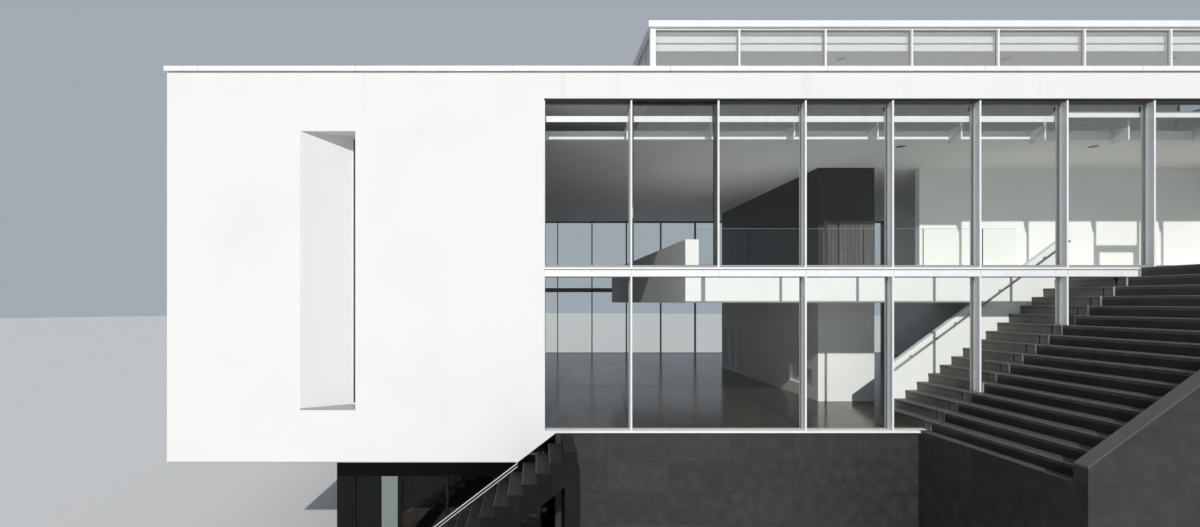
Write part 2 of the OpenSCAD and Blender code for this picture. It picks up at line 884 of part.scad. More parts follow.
module outer_treads() {
    color("darkslategray") placed() step_slabs(-stair_out, 0);
}

// Slabs on both sides of the slot that the glass stands in
module inner_treads() {
    color("darkslategray") placed() {
        step_slabs(joint, glass_y - slot_w / 2);
        step_slabs(glass_y + slot_w / 2, stair_in);
    }
}

module cheek_wall() {
    color("gray") placed() across(stair_front, -stair_out) polygon([
        [stair_x - cheek_t, base_z], [right_x, base_z], [right_x, storey + cheek_h],
        [stair_top_x, storey + cheek_h],
        [stair_x - cheek_t, cheek_h + riser - pitch * cheek_t]
    ]);
}

// Walls across the ends of the stair, under its foot and at the end of the landing
module stair_end_walls() {
    color("gray") placed() {
        block([stair_x - cheek_t, -stair_out, base_z], [stair_x, plinth_set, 0]);
        block([right_x - cheek_t, -stair_out, base_z], [right_x, 0, storey + cheek_h]);
    }
}

// Landing outside and inside: stone over a concrete slab
module landing() {
    from_x = stair_top_x + tread;
    stone_z = storey - tread_t;
    slab_z = stone_z - waist;
    color("darkslategray") placed() {
        block([from_x, -stair_out, slab_z], [right_x - cheek_t, 0, storey]);
        block([from_x, -1, slab_z], [glass_end, plinth_set, stone_z]);
        block([from_x, frame_back + sill_out, stone_z], [glass_end, gallery_front, storey]);
        block([from_x, plinth_back, slab_z], [glass_end, gallery_front, stone_z + 1]);
    }
}

module stair_balustrade() {
    color("white") placed() across(stair_in, gallery_front) balustrade_outline();
}

// Handrail along the solid balustrade, on brackets
module stair_handrail() {
    rail_y = stair_in - handrail_gap - handrail_d / 2;
    start_x = stair_x + balustrade_x;
    run = stair_top_x - start_x;
    slope = atan(pitch);
    color("silver") placed() {
        translate([start_x, rail_y, handrail_h + pitch * balustrade_x])
            rotate([0, 90 - slope, 0])
                cylinder(h = run / cos(slope), d = handrail_d, $fn = 32);
        for (i = [0:brackets - 1]) {
            x = start_x + (i + 0.5) / brackets * run;
            translate([x, rail_y, handrail_h + pitch * (x - stair_x)]) rotate([-90, 0, 0])
                cylinder(h = stair_in - rail_y, d = bracket_d, $fn = 24);
        }
    }
}

// Roof lantern

// Width of a front post: the posts at the corners are the wide ones
function post_w(j) = j == 0 || j == lantern_bays ? corner_w : flange_w;

module lantern_posts() {
    color("white") placed() {
        for (j = [0:lantern_bays])
            block([lantern_x + j * bay_w - post_w(j) / 2, lantern_set, coping_top],
                [lantern_x + j * bay_w + post_w(j) / 2, lantern_set + post_d, lantern_top]);
        for (x = [lantern_x, lantern_end]) for (y = end_posts)
            block([x - flange_w / 2, y - flange_w / 2, coping_top],
                [x + flange_w / 2, y + flange_w / 2, lantern_top]);
    }
}

// Places in depth that the rails and panes at the lantern's ends lie between
function lantern_stops() = concat([lantern_set + post_d - flange_w / 2], end_posts,
    [lantern_d + flange_w / 2]);

// Foot and head rails between the posts, in front and at both ends
module lantern_rails() {
    half = flange_w / 2 - flange_t;
    stops = lantern_stops();
    color("white") placed()
        for (z = [[coping_top, coping_top + foot_h], [lantern_top - rail_h, lantern_top]]) {
            for (j = [0:lantern_bays - 1])
                block([lantern_x + j * bay_w + post_w(j) / 2, lantern_set + flange_t, z[0]],
                    [lantern_x + (j + 1) * bay_w - post_w(j + 1) / 2,
                        lantern_set + post_d - flange_t, z[1]]);
            for (x = [lantern_x, lantern_end]) for (k = [0:len(stops) - 2])
                block([x - half, stops[k] + flange_w / 2, z[0]],
                    [x + half, stops[k + 1] - flange_w / 2, z[1]]);
        }
}

module lantern_glass() {
    low = coping_top + foot_h;
    high = lantern_top - rail_h;
    half = lantern_glass_t / 2;
    mid = lantern_set + post_d / 2;
    stops = lantern_stops();
    color("slategray", 0.5) placed() {
        for (j = [0:lantern_bays - 1]) {
            a = lantern_x + j * bay_w + post_w(j) / 2;
            b = lantern_x + (j + 1) * bay_w - post_w(j + 1) / 2;
            block([a, mid - half, low], [b, mid + half, high]);
        }
        for (x = [lantern_x, lantern_end]) for (k = [0:len(stops) - 2])
            block([x - half, stops[k] + flange_w / 2, low],
                [x + half, stops[k + 1] - flange_w / 2, high]);
    }
}

// Three blades behind the glass, each held by a small block at every post
module lantern_louvres() {
    color("white") placed() for (k = [0:2]) {
        low = lantern_top - blade_drop - k * blade_step;
        top = k == 0 ? lantern_top : low + blade_h;
        block([lantern_x + corner_w / 2, blade_y, low],
            [lantern_end - corner_w / 2, blade_y + blade_t, top]);
        for (j = [1:lantern_bays - 1])
            block([lantern_x + j * bay_w - flange_w / 4, blade_y - blade_gap, low + blade_h / 6],
                [lantern_x + j * bay_w + flange_w / 4, blade_y + 1, low + blade_h / 3]);
    }
}

// Back wall of the lantern and the curbs under its ends
module lantern_wall() {
    color("white") placed() {
        block([lantern_x - corner_w / 2, lantern_d, roof_z],
            [lantern_end + corner_w / 2, lantern_d + lantern_wall_t, lantern_top]);
        for (x = [lantern_x, lantern_end])
            block([x - corner_w / 2, band_t + coping_out, roof_z],
                [x + corner_w / 2, lantern_d + 1, coping_top]);
    }
}

module lantern_roof() {
    color("white") placed()
        block([lantern_x - corner_w / 2 - lantern_eave, lantern_set - lantern_eave, lantern_top],
            [lantern_end + corner_w / 2 + lantern_eave,
                lantern_d + lantern_wall_t + lantern_eave, lantern_top + lantern_roof_t]);
}

// Garden stair down to the lower ground

// Place of the riser under a tread of the garden stair, and level of that tread
function garden_riser_x(k) = garden_x - k * garden_tread;
function garden_level(k) = -sill_h - k * garden_riser;

// Concrete under the treads, with the wall at their head
module garden_flight() {
    steps = [for (k = [1:risers - 1]) for (back = [1, 0])
        [garden_riser_x(k - back), garden_level(k) - tread_t]];
    color("dimgray") placed() {
        across(-stringer_w - garden_w, -stringer_w) polygon(concat(
            steps, [[garden_foot, base_z], [garden_foot + 2 * garden_tread, base_z],
                [garden_x, garden_level(2) - tread_t - waist]]));
        block([garden_x - 1, -stringer_w - garden_w, base_z],
            [garden_x + cheek_t, plinth_set, -sill_h]);
    }
}

module garden_treads() {
    color("darkslategray") placed() for (k = [1:risers - 1])
        block([garden_riser_x(k) - nosing, -stringer_w - garden_w, garden_level(k) - tread_t],
            [garden_riser_x(k - 1) - joint, -stringer_w, garden_level(k)]);
}

// Channel in line with the wall's slanting edge: a web between two flanges
module garden_stringer() {
    run = toe_foot_x - garden_foot;
    drop = run * garden_pitch;
    color("white") placed() translate([toe_foot_x, 0, -box_drop]) {
        across(-stringer_w / 2, -stringer_w / 2 + stringer_t)
            polygon([[0, -stringer_h], [0, 0], [-run, -drop], [-run, -stringer_h - drop]]);
        for (z = [-stringer_h, -stringer_t]) across(-stringer_w, 0)
            polygon([[0, z], [0, z + stringer_t], [-run, z + stringer_t - drop], [-run, z - drop]]);
    }
}

front_wall();
slit_frame();
slit_glass();
left_wall();
right_wall();
back_wall();
front_band();
back_band();
coping();
roof_slab();
box_floor();
box_soffit();
living_floor();
lower_floor();
front_plinth();
back_plinth();
lower_walls();
lower_pier();
lower_frame();
lower_glass();
upper_front_mullions();
upper_front_rails();
upper_front_glass();
entrance_door();
lower_front_mullions();
front_sill();
lower_front_glass();
front_transom();
inner_ceiling();
head_blades();
back_mullions();
back_rails();
back_glass();
gallery_slab();
gallery_fascia();
gallery_parapet();
gallery_guard();
gallery_wall();
core_lower();
core_upper();
core_panel();
stair_flight();
outer_treads();
inner_treads();
cheek_wall();
stair_end_walls();
landing();
stair_balustrade();
stair_handrail();
lantern_posts();
lantern_rails();
lantern_glass();
lantern_louvres();
lantern_wall();
lantern_roof();
garden_flight();
garden_treads();
garden_stringer();
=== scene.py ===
"""Looks of a modern house: a white box beside a two-storey glass front, with a stone stair.

The classes below work in the house's own axes, in metres: x along the front from the left
end of the glass, y into the house from the face of the front wall, z up from the living
floor. Assembly.done moves each finished piece into the frame of the part.
"""

import json
import logging
import math
from dataclasses import dataclass, field
from enum import Enum
from functools import partial, reduce
from typing import Iterable

import bmesh
import bpy
from mathutils import Matrix, Vector


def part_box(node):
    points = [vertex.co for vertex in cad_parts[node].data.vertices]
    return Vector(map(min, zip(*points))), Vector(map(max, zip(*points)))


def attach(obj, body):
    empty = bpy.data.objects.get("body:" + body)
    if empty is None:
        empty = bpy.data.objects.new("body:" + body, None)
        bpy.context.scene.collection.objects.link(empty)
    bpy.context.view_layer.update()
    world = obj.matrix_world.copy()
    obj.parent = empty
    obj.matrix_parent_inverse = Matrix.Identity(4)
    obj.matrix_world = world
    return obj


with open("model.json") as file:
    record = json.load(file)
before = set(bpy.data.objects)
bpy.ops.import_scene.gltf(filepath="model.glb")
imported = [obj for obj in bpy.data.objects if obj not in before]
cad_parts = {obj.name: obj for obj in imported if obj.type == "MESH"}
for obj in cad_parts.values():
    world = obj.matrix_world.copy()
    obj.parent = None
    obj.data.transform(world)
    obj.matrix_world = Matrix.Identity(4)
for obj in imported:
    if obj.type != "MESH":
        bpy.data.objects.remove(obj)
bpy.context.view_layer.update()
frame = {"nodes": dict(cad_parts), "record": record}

BODY = "root"
UP = Vector((0.0, 0.0, 1.0))

log = logging.getLogger("house")

Triple = tuple[float, float, float]
Colour = tuple[float, float, float, float]


def grey(level: float, warm: float = 0.0) -> Colour:
    """Returns a grey, with more red and less blue where warm is over zero."""
    return (level * (1 + warm), level, level * (1 - warm), 1.0)


def linked(name: str, data: bpy.types.ID) -> bpy.types.Object:
    """Puts a new object into the scene.

    Args:
        name: the object's name.
        data: its mesh, camera or light.

    Returns:
        The object.
    """
    made = bpy.data.objects.new(name, data)
    bpy.context.scene.collection.objects.link(made)
    return made


# Sizes of the house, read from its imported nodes


@dataclass(frozen=True)
class House:
    """Places and sizes of the house in its own axes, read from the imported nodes."""

    origin: Vector
    bays: int = 10
    risers: int = 17

    @classmethod
    def from_frame(cls) -> "House":
        """Finds the house's own axes: the band's low corner and the top of the box's floor.

        Returns:
            The house, with its origin there.
        """
        corner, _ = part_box("front_band")
        _, floor_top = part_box("box_floor")
        return cls(Vector((corner.x, corner.y, floor_top.z)))

    def box(self, node: str) -> tuple[Vector, Vector]:
        """Returns a node's lowest and highest corners in the house's own axes."""
        low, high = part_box(node)
        return low - self.origin, high - self.origin

    @property
    def glass_end(self) -> float:
        """Right end of the glass front."""
        return self.box("front_band")[1].x

    @property
    def bay(self) -> float:
        """Width of one bay."""
        return self.glass_end / self.bays

    @property
    def storey(self) -> float:
        """Height of the upper floor."""
        return self.box("gallery_slab")[1].z

    @property
    def head(self) -> float:
        """Height of the glass head."""
        return self.box("front_band")[0].z

    @property
    def wall_top(self) -> float:
        """Top of the white walls."""
        return self.box("front_wall")[1].z

    @property
    def riser(self) -> float:
        """Height of one riser."""
        return self.storey / self.risers

    @property
    def stair_start(self) -> float:
        """Place of the first riser along the front."""
        return self.box("front_sill")[1].x

    @property
    def stair_end(self) -> float:
        """Place of the top riser along the front."""
        return self.box("stair_balustrade")[1].x

    @property
    def tread(self) -> float:
        """Depth of one tread."""
        return (self.stair_end - self.stair_start) / (self.risers - 1)


# Shader building


class Wire:
    """A shader socket that takes part in sums and products as a number does."""

    def __init__(self, graph: "Graph", socket: bpy.types.NodeSocket) -> None:
        """Keeps the output socket and the graph that holds it."""
        self.graph = graph
        self.socket = socket

    def _maths(self, operation: str, first: "Number", second: "Number" = 0.0) -> "Wire":
        """Returns what a Math node makes of one or two values."""
        return self.graph.wire("ShaderNodeMath", {"operation": operation}, {0: first, 1: second})

    def __add__(self, other: "Number") -> "Wire":
        """Adds."""
        return self._maths("ADD", self, other)

    def __radd__(self, other: float) -> "Wire":
        """Adds to a number."""
        return self._maths("ADD", other, self)

    def __sub__(self, other: "Number") -> "Wire":
        """Subtracts."""
        return self._maths("SUBTRACT", self, other)

    def __rsub__(self, other: float) -> "Wire":
        """Subtracts from a number."""
        return self._maths("SUBTRACT", other, self)

    def __mul__(self, other: "Number") -> "Wire":
        """Multiplies."""
        return self._maths("MULTIPLY", self, other)

    def __rmul__(self, other: float) -> "Wire":
        """Multiplies a number."""
        return self._maths("MULTIPLY", other, self)

    def __truediv__(self, other: "Number") -> "Wire":
        """Divides."""
        return self._maths("DIVIDE", self, other)

    def __pow__(self, other: "Number") -> "Wire":
        """Raises to a power."""
        return self._maths("POWER", self, other)

    def __lt__(self, other: "Number") -> "Wire":
        """Returns 1 where the value is less, else 0."""
        return self._maths("LESS_THAN", self, other)

    def __gt__(self, other: "Number") -> "Wire":
        """Returns 1 where the value is greater, else 0."""
        return self._maths("GREATER_THAN", self, other)

    def __abs__(self) -> "Wire":
        """Returns the value without its sign."""
        return self._maths("ABSOLUTE", self)

    def floor(self) -> "Wire":
        """Returns the whole part."""
        return self._maths("FLOOR", self)

    def part(self) -> "Wire":
        """Returns what is left over the whole part."""
        return self._maths("FRACT", self)

    def most(self, other: "Number") -> "Wire":
        """Returns the greater of two values."""
        return self._maths("MAXIMUM", self, other)

    def least(self, other: "Number") -> "Wire":
        """Returns the smaller of two values."""
        return self._maths("MINIMUM", self, other)

    def ease(self, low: float, high: float) -> "Wire":
        """Goes smoothly from 0 to 1.

        Args:
            low: the value up to which it is 0.
            high: the value from which it is 1.

        Returns:
            A value from 0 to 1.
        """
        settings = {"interpolation_type": "SMOOTHSTEP"}
        return self.graph.wire(
            "ShaderNodeMapRange", settings, {"Value": self, "From Min": low, "From Max": high}
        )


Number = Wire | float


class Graph:
    """The node tree of one material."""

    def __init__(self, name: str) -> None:
        """Makes an empty material.

        Args:
            name: the material's name.
        """
        self.material = bpy.data.materials.new(name)
        self.material.use_nodes = True
        self.tree = self.material.node_tree
        self.tree.nodes.clear()

    def node(self, kind: str, settings: dict, inputs: dict) -> bpy.types.Node:
        """Adds a node.

        Args:
            kind: the node's type.
            settings: its own settings; "stops" are a ramp's places and colours.
            inputs: values or wires of its sockets, by name or number.

        Returns:
            The new node.
        """
        made = self.tree.nodes.new(kind)
        for name, value in settings.items():
            if name == "stops":
                for element, (place, colour) in zip(made.color_ramp.elements, value):
                    element.position, element.color = place, colour
            else:
                setattr(made, name, value)
        for key, value in inputs.items():
            if isinstance(value, Wire):
                self.tree.links.new(value.socket, made.inputs[key])
            else:
                made.inputs[key].default_value = value
        return made

    def wire(self, kind: str, settings: dict, inputs: dict, output: int | str = 0) -> Wire:
        """Adds a node as node() does, and returns the output of that name or number."""
        return Wire(self, self.node(kind, settings, inputs).outputs[output])

    def place(self) -> Wire:
        """Returns the object coordinates, in metres."""
        return self.wire("ShaderNodeTexCoord", {}, {}, "Object")

    def split(self, vector: Wire) -> tuple[Wire, Wire, Wire]:
        """Returns a vector's x, y and z."""
        made = self.node("ShaderNodeSeparateXYZ", {}, {0: vector})
        return tuple(Wire(self, socket) for socket in made.outputs)

    def normal(self) -> tuple[Wire, Wire, Wire]:
        """Returns the x, y and z of the face's normal."""
        return self.split(self.wire("ShaderNodeTexCoord", {}, {}, "Normal"))

    def flatness(self) -> tuple[Wire, Wire, Wire]:
        """Returns 1 for each axis that runs along the face, and 0 for the one across it."""
        return tuple(abs(value) < 0.6 for value in self.normal())

    def stretched(self, vector: Wire, scale: Triple, turn: Triple = (0.0, 0.0, 0.0)) -> Wire:
        """Scales and turns a vector, by factors and by angles in radians."""
        return self.wire("ShaderNodeMapping", {}, {"Vector": vector, "Scale": scale, "Rotation": turn})

    def noise(self, vector: Wire, scale: float, detail: float = 3.0) -> Wire:
        """Returns smooth noise from 0 to 1, with a scale of blotches to the metre."""
        return self.wire(
            "ShaderNodeTexNoise", {}, {"Vector": vector, "Scale": scale, "Detail": detail}
        )

    def cells(self, vector: Wire, scale: float) -> Wire:
        """Returns the distance in a pattern of cells, with a scale of cells to the metre."""
        return self.wire("ShaderNodeTexVoronoi", {}, {"Vector": vector, "Scale": scale})

    def blend(self, factor: Number, first: "Colour | Wire", second: "Colour | Wire") -> Wire:
        """Mixes two colours: a factor of 0 gives the first, and 1 the second."""
        settings = {"data_type": "RGBA", "clamp_factor": True}
        return self.wire("ShaderNodeMix", settings, {0: factor, 6: first, 7: second}, 2)

    def lines(self, value: Wire, pitch: float, start: float, width: float) -> Wire:
        """Draws lines at equal distances along one axis.

        Args:
            value: the place along the axis.
            pitch: the distance from line to line.
            start: the place of one line.
            width: the width of a line.

        Returns:
            1 on a line, and 0 beside it.
        """
        share = ((value - start) / pitch).part()
        away = share.least(1.0 - share) * pitch
        return 1.0 - away.ease(width * 0.35, width * 0.75)

    def joints(self, values: Iterable[Wire], pitches: Iterable[float], starts: Iterable[float],
               width: float) -> Wire:
        """Draws lines across each axis, on the faces that the axis runs along.

        Args:
            values: the place along each axis.
            pitches: the distance from line to line along each axis.
            starts: the place of one line along each axis.
            width: the width of a line.

        Returns:
            1 on a line, and 0 beside it.
        """
        drawn = [
            self.lines(v, p, s, width) * a
            for v, p, s, a in zip(values, pitches, starts, self.flatness())
        ]
        return reduce(Wire.most, drawn)

    def slab_tone(self, values: Iterable[Wire], pitches: Triple, starts: Triple) -> Wire:
        """Gives each slab of a grid a tone of its own.

        Args:
            values: the place along each axis.
            pitches: the slab's size along each axis.
            starts: the place of one joint along each axis.

        Returns:
            A value from 0 to 1, the same all over a slab.
        """
        steps = [((v - s) / p).floor() for v, p, s in zip(values, pitches, starts)]
        index = self.wire("ShaderNodeCombineXYZ", {}, dict(enumerate(steps)))
        return self.wire("ShaderNodeTexWhiteNoise", {"noise_dimensions": "3D"}, {"Vector": index})

    def bump(self, height: Wire, depth: float, strength: float = 1.0) -> Wire:
        """Turns a height from 0 to 1 into a normal, with the depth of 1 in metres."""
        inputs = {"Height": height, "Distance": depth, "Strength": strength}
        return self.wire("ShaderNodeBump", {}, inputs, "Normal")

    def surface(self, inputs: dict) -> bpy.types.Material:
        """Ends the material in a Principled shader with these inputs."""
        return self.end(self.wire("ShaderNodeBsdfPrincipled", {}, inputs, "BSDF"))

    def end(self, shader: Wire) -> bpy.types.Material:
        """Joins the last shader to the output and returns the material."""
        self.node("ShaderNodeOutputMaterial", {}, {"Surface": shader})
        return self.material


# Finishes


class Slot(Enum):
    """The record's material slots."""

    RENDER = "white_render"
    PLASTER = "white_plaster"
    WHITE_METAL = "white_metal"
    DARK_METAL = "dark_metal"
    GLASS = "clear_glass"
    DARK_STONE = "dark_stone"
    CONCRETE = "grey_concrete"
    FLOOR = "polished_floor"
    ROOFING = "roofing"
    BLACK_BOARD = "black_board"
    GREY_BOARD = "grey_board"
    STEEL = "steel_rail"


@dataclass(frozen=True)
class Finish:
    """A finish, which makes one material."""

    name: str

    def material(self) -> bpy.types.Material:
        """Returns the finished material."""
        raise NotImplementedError


@dataclass(frozen=True)
class MineralRender(Finish):
    """White mineral render: fine grain, float marks, and faint runs under the coping."""

    top: float
    clean: Colour = (0.745, 0.74, 0.727, 1.0)
    weathered: Colour = (0.54, 0.536, 0.522, 1.0)
    run_length: float = 1.5

    def material(self) -> bpy.types.Material:
        """Makes the material.

        Returns:
            The finished material.
        """
        g = Graph(self.name)
        place = g.place()
        height = g.split(place)[2]
        clouds = g.noise(place, 0.6, 4.0)
        runs = g.noise(g.stretched(place, (4.0, 4.0, 0.16)), 1.0, 4.0)
        below = (height - (self.top - self.run_length)) / self.run_length
        run_mask = runs.ease(0.55, 0.78) * below.ease(0.0, 1.0) * 0.28
        grain = g.noise(place, 210.0, 2.0)
        floats = g.noise(g.stretched(place, (1.0, 1.0, 1.6)), 11.0, 3.0)
        soiling = run_mask + clouds.ease(0.42, 0.8) * 0.16 + grain * 0.06
        return g.surface({
            "Base Color": g.blend(soiling, self.clean, self.weathered),
            "Roughness": 0.86 + grain * 0.1,
            "Normal": g.bump(grain * 0.5 + floats * 0.5, 0.0016, 0.55),
            "Specular IOR Level": 0.3,
        })


@dataclass(frozen=True)
class Plaster(Finish):
    """Smooth painted plaster, with faint roller marks."""

    colour: Colour = (0.86, 0.86, 0.84, 1.0)
    shade: Colour = (0.79, 0.79, 0.77, 1.0)

    def material(self) -> bpy.types.Material:
        """Makes the material.

        Returns:
            The finished material.
        """
        g = Graph(self.name)
        place = g.place()
        clouds = g.noise(place, 1.3, 3.0)
        stipple = g.noise(place, 420.0, 1.0)
        return g.surface({
            "Base Color": g.blend(clouds.ease(0.3, 0.8) * 0.5, self.colour, self.shade),
            "Roughness": 0.6 + stipple * 0.15,
            "Normal": g.bump(stipple, 0.0003, 0.4),
        })


@dataclass(frozen=True)
class PowderCoat(Finish):
    """Satin powder coat on metal: a fine orange peel, dust in faint clouds, and joints.

    A second colour, where there is one, covers all behind a plane, and shows through below a level; on
    the rails of the upper glass this is painted light.
    """

    colour: Colour
    dust: Colour
    dustiness: float = 0.3
    roughness: float = 0.32
    seam: float = 0.0
    seam_start: float = 0.4
    seam_w: float = 0.005
    ior: float = 1.5
    second: Colour | None = None
    level: float = 0.0
    plane: float = 0.0
    through: float = 0.35

    def material(self) -> bpy.types.Material:
        """Makes the material.

        Returns:
            The finished material.
        """
        g = Graph(self.name)
        place = g.place()
        clouds = g.noise(place, 3.0, 5.0)
        runs = g.noise(g.stretched(place, (14.0, 14.0, 0.7)), 1.0, 3.0)
        film = (clouds * runs).ease(0.16, 0.5)
        peel = g.noise(place, 700.0, 1.0)
        coat = g.blend(film * self.dustiness, self.colour, self.dust)
        # Where set, the second colour is painted light: it whitens the parts that show lit.
        if self.second:
            _, y, z = g.split(place)
            coat = g.blend((y > self.plane).most((z < self.level) * self.through), coat, self.second)
        if self.seam:
            seams = g.joints(g.split(place)[:2], (self.seam,) * 2, (self.seam_start,) * 2, self.seam_w)
            coat = g.blend(seams, coat, grey(0.05))
        return g.surface({
            "Base Color": coat,
            "Roughness": self.roughness + film * 0.18,
            "IOR": self.ior,
            "Normal": g.bump(peel, 0.00012, 0.35),
        })


@dataclass(frozen=True)
class ClearGlass(Finish):
    """Clear glass: lets light through, with gloss that grows as the view flattens."""

    tint: Colour = (0.984, 0.994, 0.987, 1.0)
    head_on: float = 0.015
    film: float = 0.0015

    def material(self) -> bpy.types.Material:
        """Makes the material.

        Returns:
            The finished material.
        """
        g = Graph(self.name)
        facing = g.wire("ShaderNodeLayerWeight", {}, {"Blend": 0.5}, "Facing")
        specks = g.cells(g.place(), 38.0)
        haze = g.noise(g.place(), 1.7, 4.0)
        clear = g.wire("ShaderNodeBsdfTransparent", {}, {"Color": self.tint})
        gloss = g.wire("ShaderNodeBsdfGlossy", {}, {"Roughness": 0.01})
        dust = g.wire("ShaderNodeBsdfDiffuse", {}, {"Color": grey(0.7)})
        pane = g.wire("ShaderNodeMixShader", {}, {
            0: self.head_on + (1.0 - self.head_on) * facing ** 5.0, 1: clear, 2: gloss,
        })
        # The film mixes in a pale diffuse layer: dust on the pane, and on the lantern glass also painted
        # reflection of the sky.
        film = (1.0 - specks.ease(0.02, 0.07)) * haze.ease(0.5, 0.75) * 0.25 + self.film
        return g.end(g.wire("ShaderNodeMixShader", {}, {0: film, 1: pane, 2: dust}))


@dataclass(frozen=True)
class HonedStone(Finish):
    """Dark honed stone slabs with thin joints, each slab with a tone of its own."""

    pitches: Triple
    starts: Triple
    colour: Colour = (0.035, 0.036, 0.039, 1.0)
    pale: Colour = (0.085, 0.086, 0.09, 1.0)
    joint: Colour = (0.012, 0.012, 0.013, 1.0)
    dusty: Colour = (0.095, 0.093, 0.09, 1.0)
    joint_w: float = 0.005
    roughness: float = 0.42
    ior: float = 1.5

    def material(self) -> bpy.types.Material:
        """Makes the material.

        Returns:
            The finished material.
        """
        g = Graph(self.name)
        place = g.place()
        values = g.split(place)
        joints = g.joints(values, self.pitches, self.starts, self.joint_w)
        tone = g.slab_tone(values, self.pitches, self.starts)
        clouds = g.noise(place, 5.0, 5.0)
        flecks = g.cells(place, 260.0)
        grain = g.noise(place, 340.0, 2.0)
        level = tone * 0.35 + clouds.ease(0.35, 0.75) * 0.4 + (1.0 - flecks.ease(0.05, 0.3)) * 0.25
        dust = (g.normal()[2] > 0.7) * (0.55 + clouds * 0.5)
        body = g.blend(dust, g.blend(level, self.colour, self.pale), self.dusty)
        return g.surface({
            "Base Color": g.blend(joints, body, self.joint),
            "Roughness": self.roughness + clouds * 0.14 + joints * 0.3 + dust * 0.15,
            "IOR": self.ior,
            "Normal": g.bump(grain * 0.12 - joints, 0.0025, 0.6),
        })


@dataclass(frozen=True)
class FairConcrete(Finish):
    """Fair-faced concrete: board joints, tie holes, pinholes and cloudy tones."""

    colour: Colour = (0.30, 0.30, 0.295, 1.0)
    dark: Colour = (0.17, 0.17, 0.165, 1.0)
    sheet: Triple = (2.5, 2.5, 1.25)
    seam_w: float = 0.006
    tie_radius: float = 0.014

    def material(self) -> bpy.types.Material:
        """Makes the material.

        Returns:
            The finished material.
        """
        g = Graph(self.name)
        place = g.place()
        values = g.split(place)
        along = g.flatness()
        seam = g.joints(values, self.sheet, (0.0,) * 3, self.seam_w)
        spans = [
            abs(((v / p * 2.0).part() - 0.5) * (p / 2.0)) * a
            for v, p, a in zip(values, self.sheet, along)
        ]
        reach = (spans[0] ** 2.0 + spans[1] ** 2.0 + spans[2] ** 2.0) ** 0.5
        ties = (reach < self.tie_radius) * (along[0].least(along[2]).most(along[1].least(along[2])))
        clouds = g.noise(place, 1.4, 6.0)
        runs = g.noise(g.stretched(place, (6.0, 6.0, 0.35)), 1.0, 4.0)
        pores = 1.0 - g.cells(place, 55.0).ease(0.04, 0.09)
        tone = clouds.ease(0.3, 0.75) * 0.6 + runs.ease(0.5, 0.8) * 0.3 + seam * 0.4
        marks = ties.most(pores * clouds.ease(0.45, 0.6))
        return g.surface({
            "Base Color": g.blend(tone.most(marks), self.colour, self.dark),
            "Roughness": 0.7 + clouds * 0.15,
            "Normal": g.bump(clouds * 0.2 - marks - seam * 0.6, 0.004, 0.6),
        })


@dataclass(frozen=True)
class PolishedFloor(Finish):
    """Dark polished floor slabs that mirror the room, with hairline joints."""

    colour: Colour = (0.045, 0.036, 0.031, 1.0)
    pale: Colour = (0.085, 0.068, 0.058, 1.0)
    slab: float = 1.0
    joint_w: float = 0.004

    def material(self) -> bpy.types.Material:
        """Makes the material.

        Returns:
            The finished material.
        """
        g = Graph(self.name)
        place = g.place()
        x, y, _ = g.split(place)
        joints = g.lines(x, self.slab, 0.0, self.joint_w).most(g.lines(y, self.slab, 0.0, self.joint_w))
        tone = g.slab_tone((x, y), (self.slab, self.slab), (0.0, 0.0))
        clouds = g.noise(place, 2.6, 6.0)
        veins = g.noise(g.stretched(place, (2.0, 7.0, 1.0), (0.0, 0.0, 0.5)), 2.0, 6.0)
        level = tone * 0.3 + clouds.ease(0.4, 0.7) * 0.4 + veins.ease(0.5, 0.62) * 0.3
        return g.surface({
            "Base Color": g.blend(joints, g.blend(level, self.colour, self.pale), grey(0.012)),
            "Roughness": 0.1 + clouds * 0.12 + joints * 0.4,
            "Normal": g.bump(clouds * 0.04 - joints, 0.001, 0.35),
            "IOR": 1.2,
        })


@dataclass(frozen=True)
class Membrane(Finish):
    """Grey roofing membrane with welded laps and silt on top, white paint underneath."""

    colour: Colour = (0.45, 0.455, 0.46, 1.0)
    silt: Colour = (0.22, 0.215, 0.20, 1.0)
    paint: Colour = (0.84, 0.84, 0.82, 1.0)
    sheet: float = 1.5
    first: float = 0.2
    lap: float = 0.08

    def material(self) -> bpy.types.Material:
        """Makes the material.

        Returns:
            The finished material.
        """
        g = Graph(self.name)
        place = g.place()
        on_top = g.normal()[2] > 0.5
        laps = g.lines(g.split(place)[0], self.sheet, self.first, self.lap) * on_top
        puddles = g.noise(place, 0.5, 5.0).ease(0.48, 0.66)
        grit = g.noise(place, 160.0, 2.0)
        tone = puddles * 0.18 + grit * 0.25 + laps * 0.15
        return g.surface({
            "Base Color": g.blend(on_top, self.paint, g.blend(tone, self.colour, self.silt)),
            "Roughness": 0.62 + grit * 0.2,
            "Normal": g.bump(laps * 0.7 + grit * 0.1, 0.003, 0.7),
        })


@dataclass(frozen=True)
class StainedBoards(Finish):
    """Stained boards, upright or laid, with grain along them and open joints."""

    colour: Colour
    pale: Colour
    board: float = 0.12
    joint_w: float = 0.005
    laid_along_y: bool = False

    def material(self) -> bpy.types.Material:
        """Makes the material.

        Returns:
            The finished material.
        """
        g = Graph(self.name)
        place = g.place()
        axes = 1 if self.laid_along_y else 2
        across = g.split(place)[:axes]
        boards, starts = (self.board,) * axes, (0.0,) * axes
        joints = g.joints(across, boards, starts, self.joint_w)
        tone = g.slab_tone(across, boards, starts)
        scales = (60.0, 1.6, 60.0) if self.laid_along_y else (60.0, 60.0, 1.6)
        grain = g.noise(g.stretched(place, scales), 1.0, 5.0)
        level = grain.ease(0.35, 0.7) * 0.6 + tone * 0.4
        return g.surface({
            "Base Color": g.blend(joints, g.blend(level, self.colour, self.pale), grey(0.006)),
            "Roughness": 0.5 + grain * 0.2,
            "Normal": g.bump(grain * 0.25 - joints, 0.002, 0.6),
        })


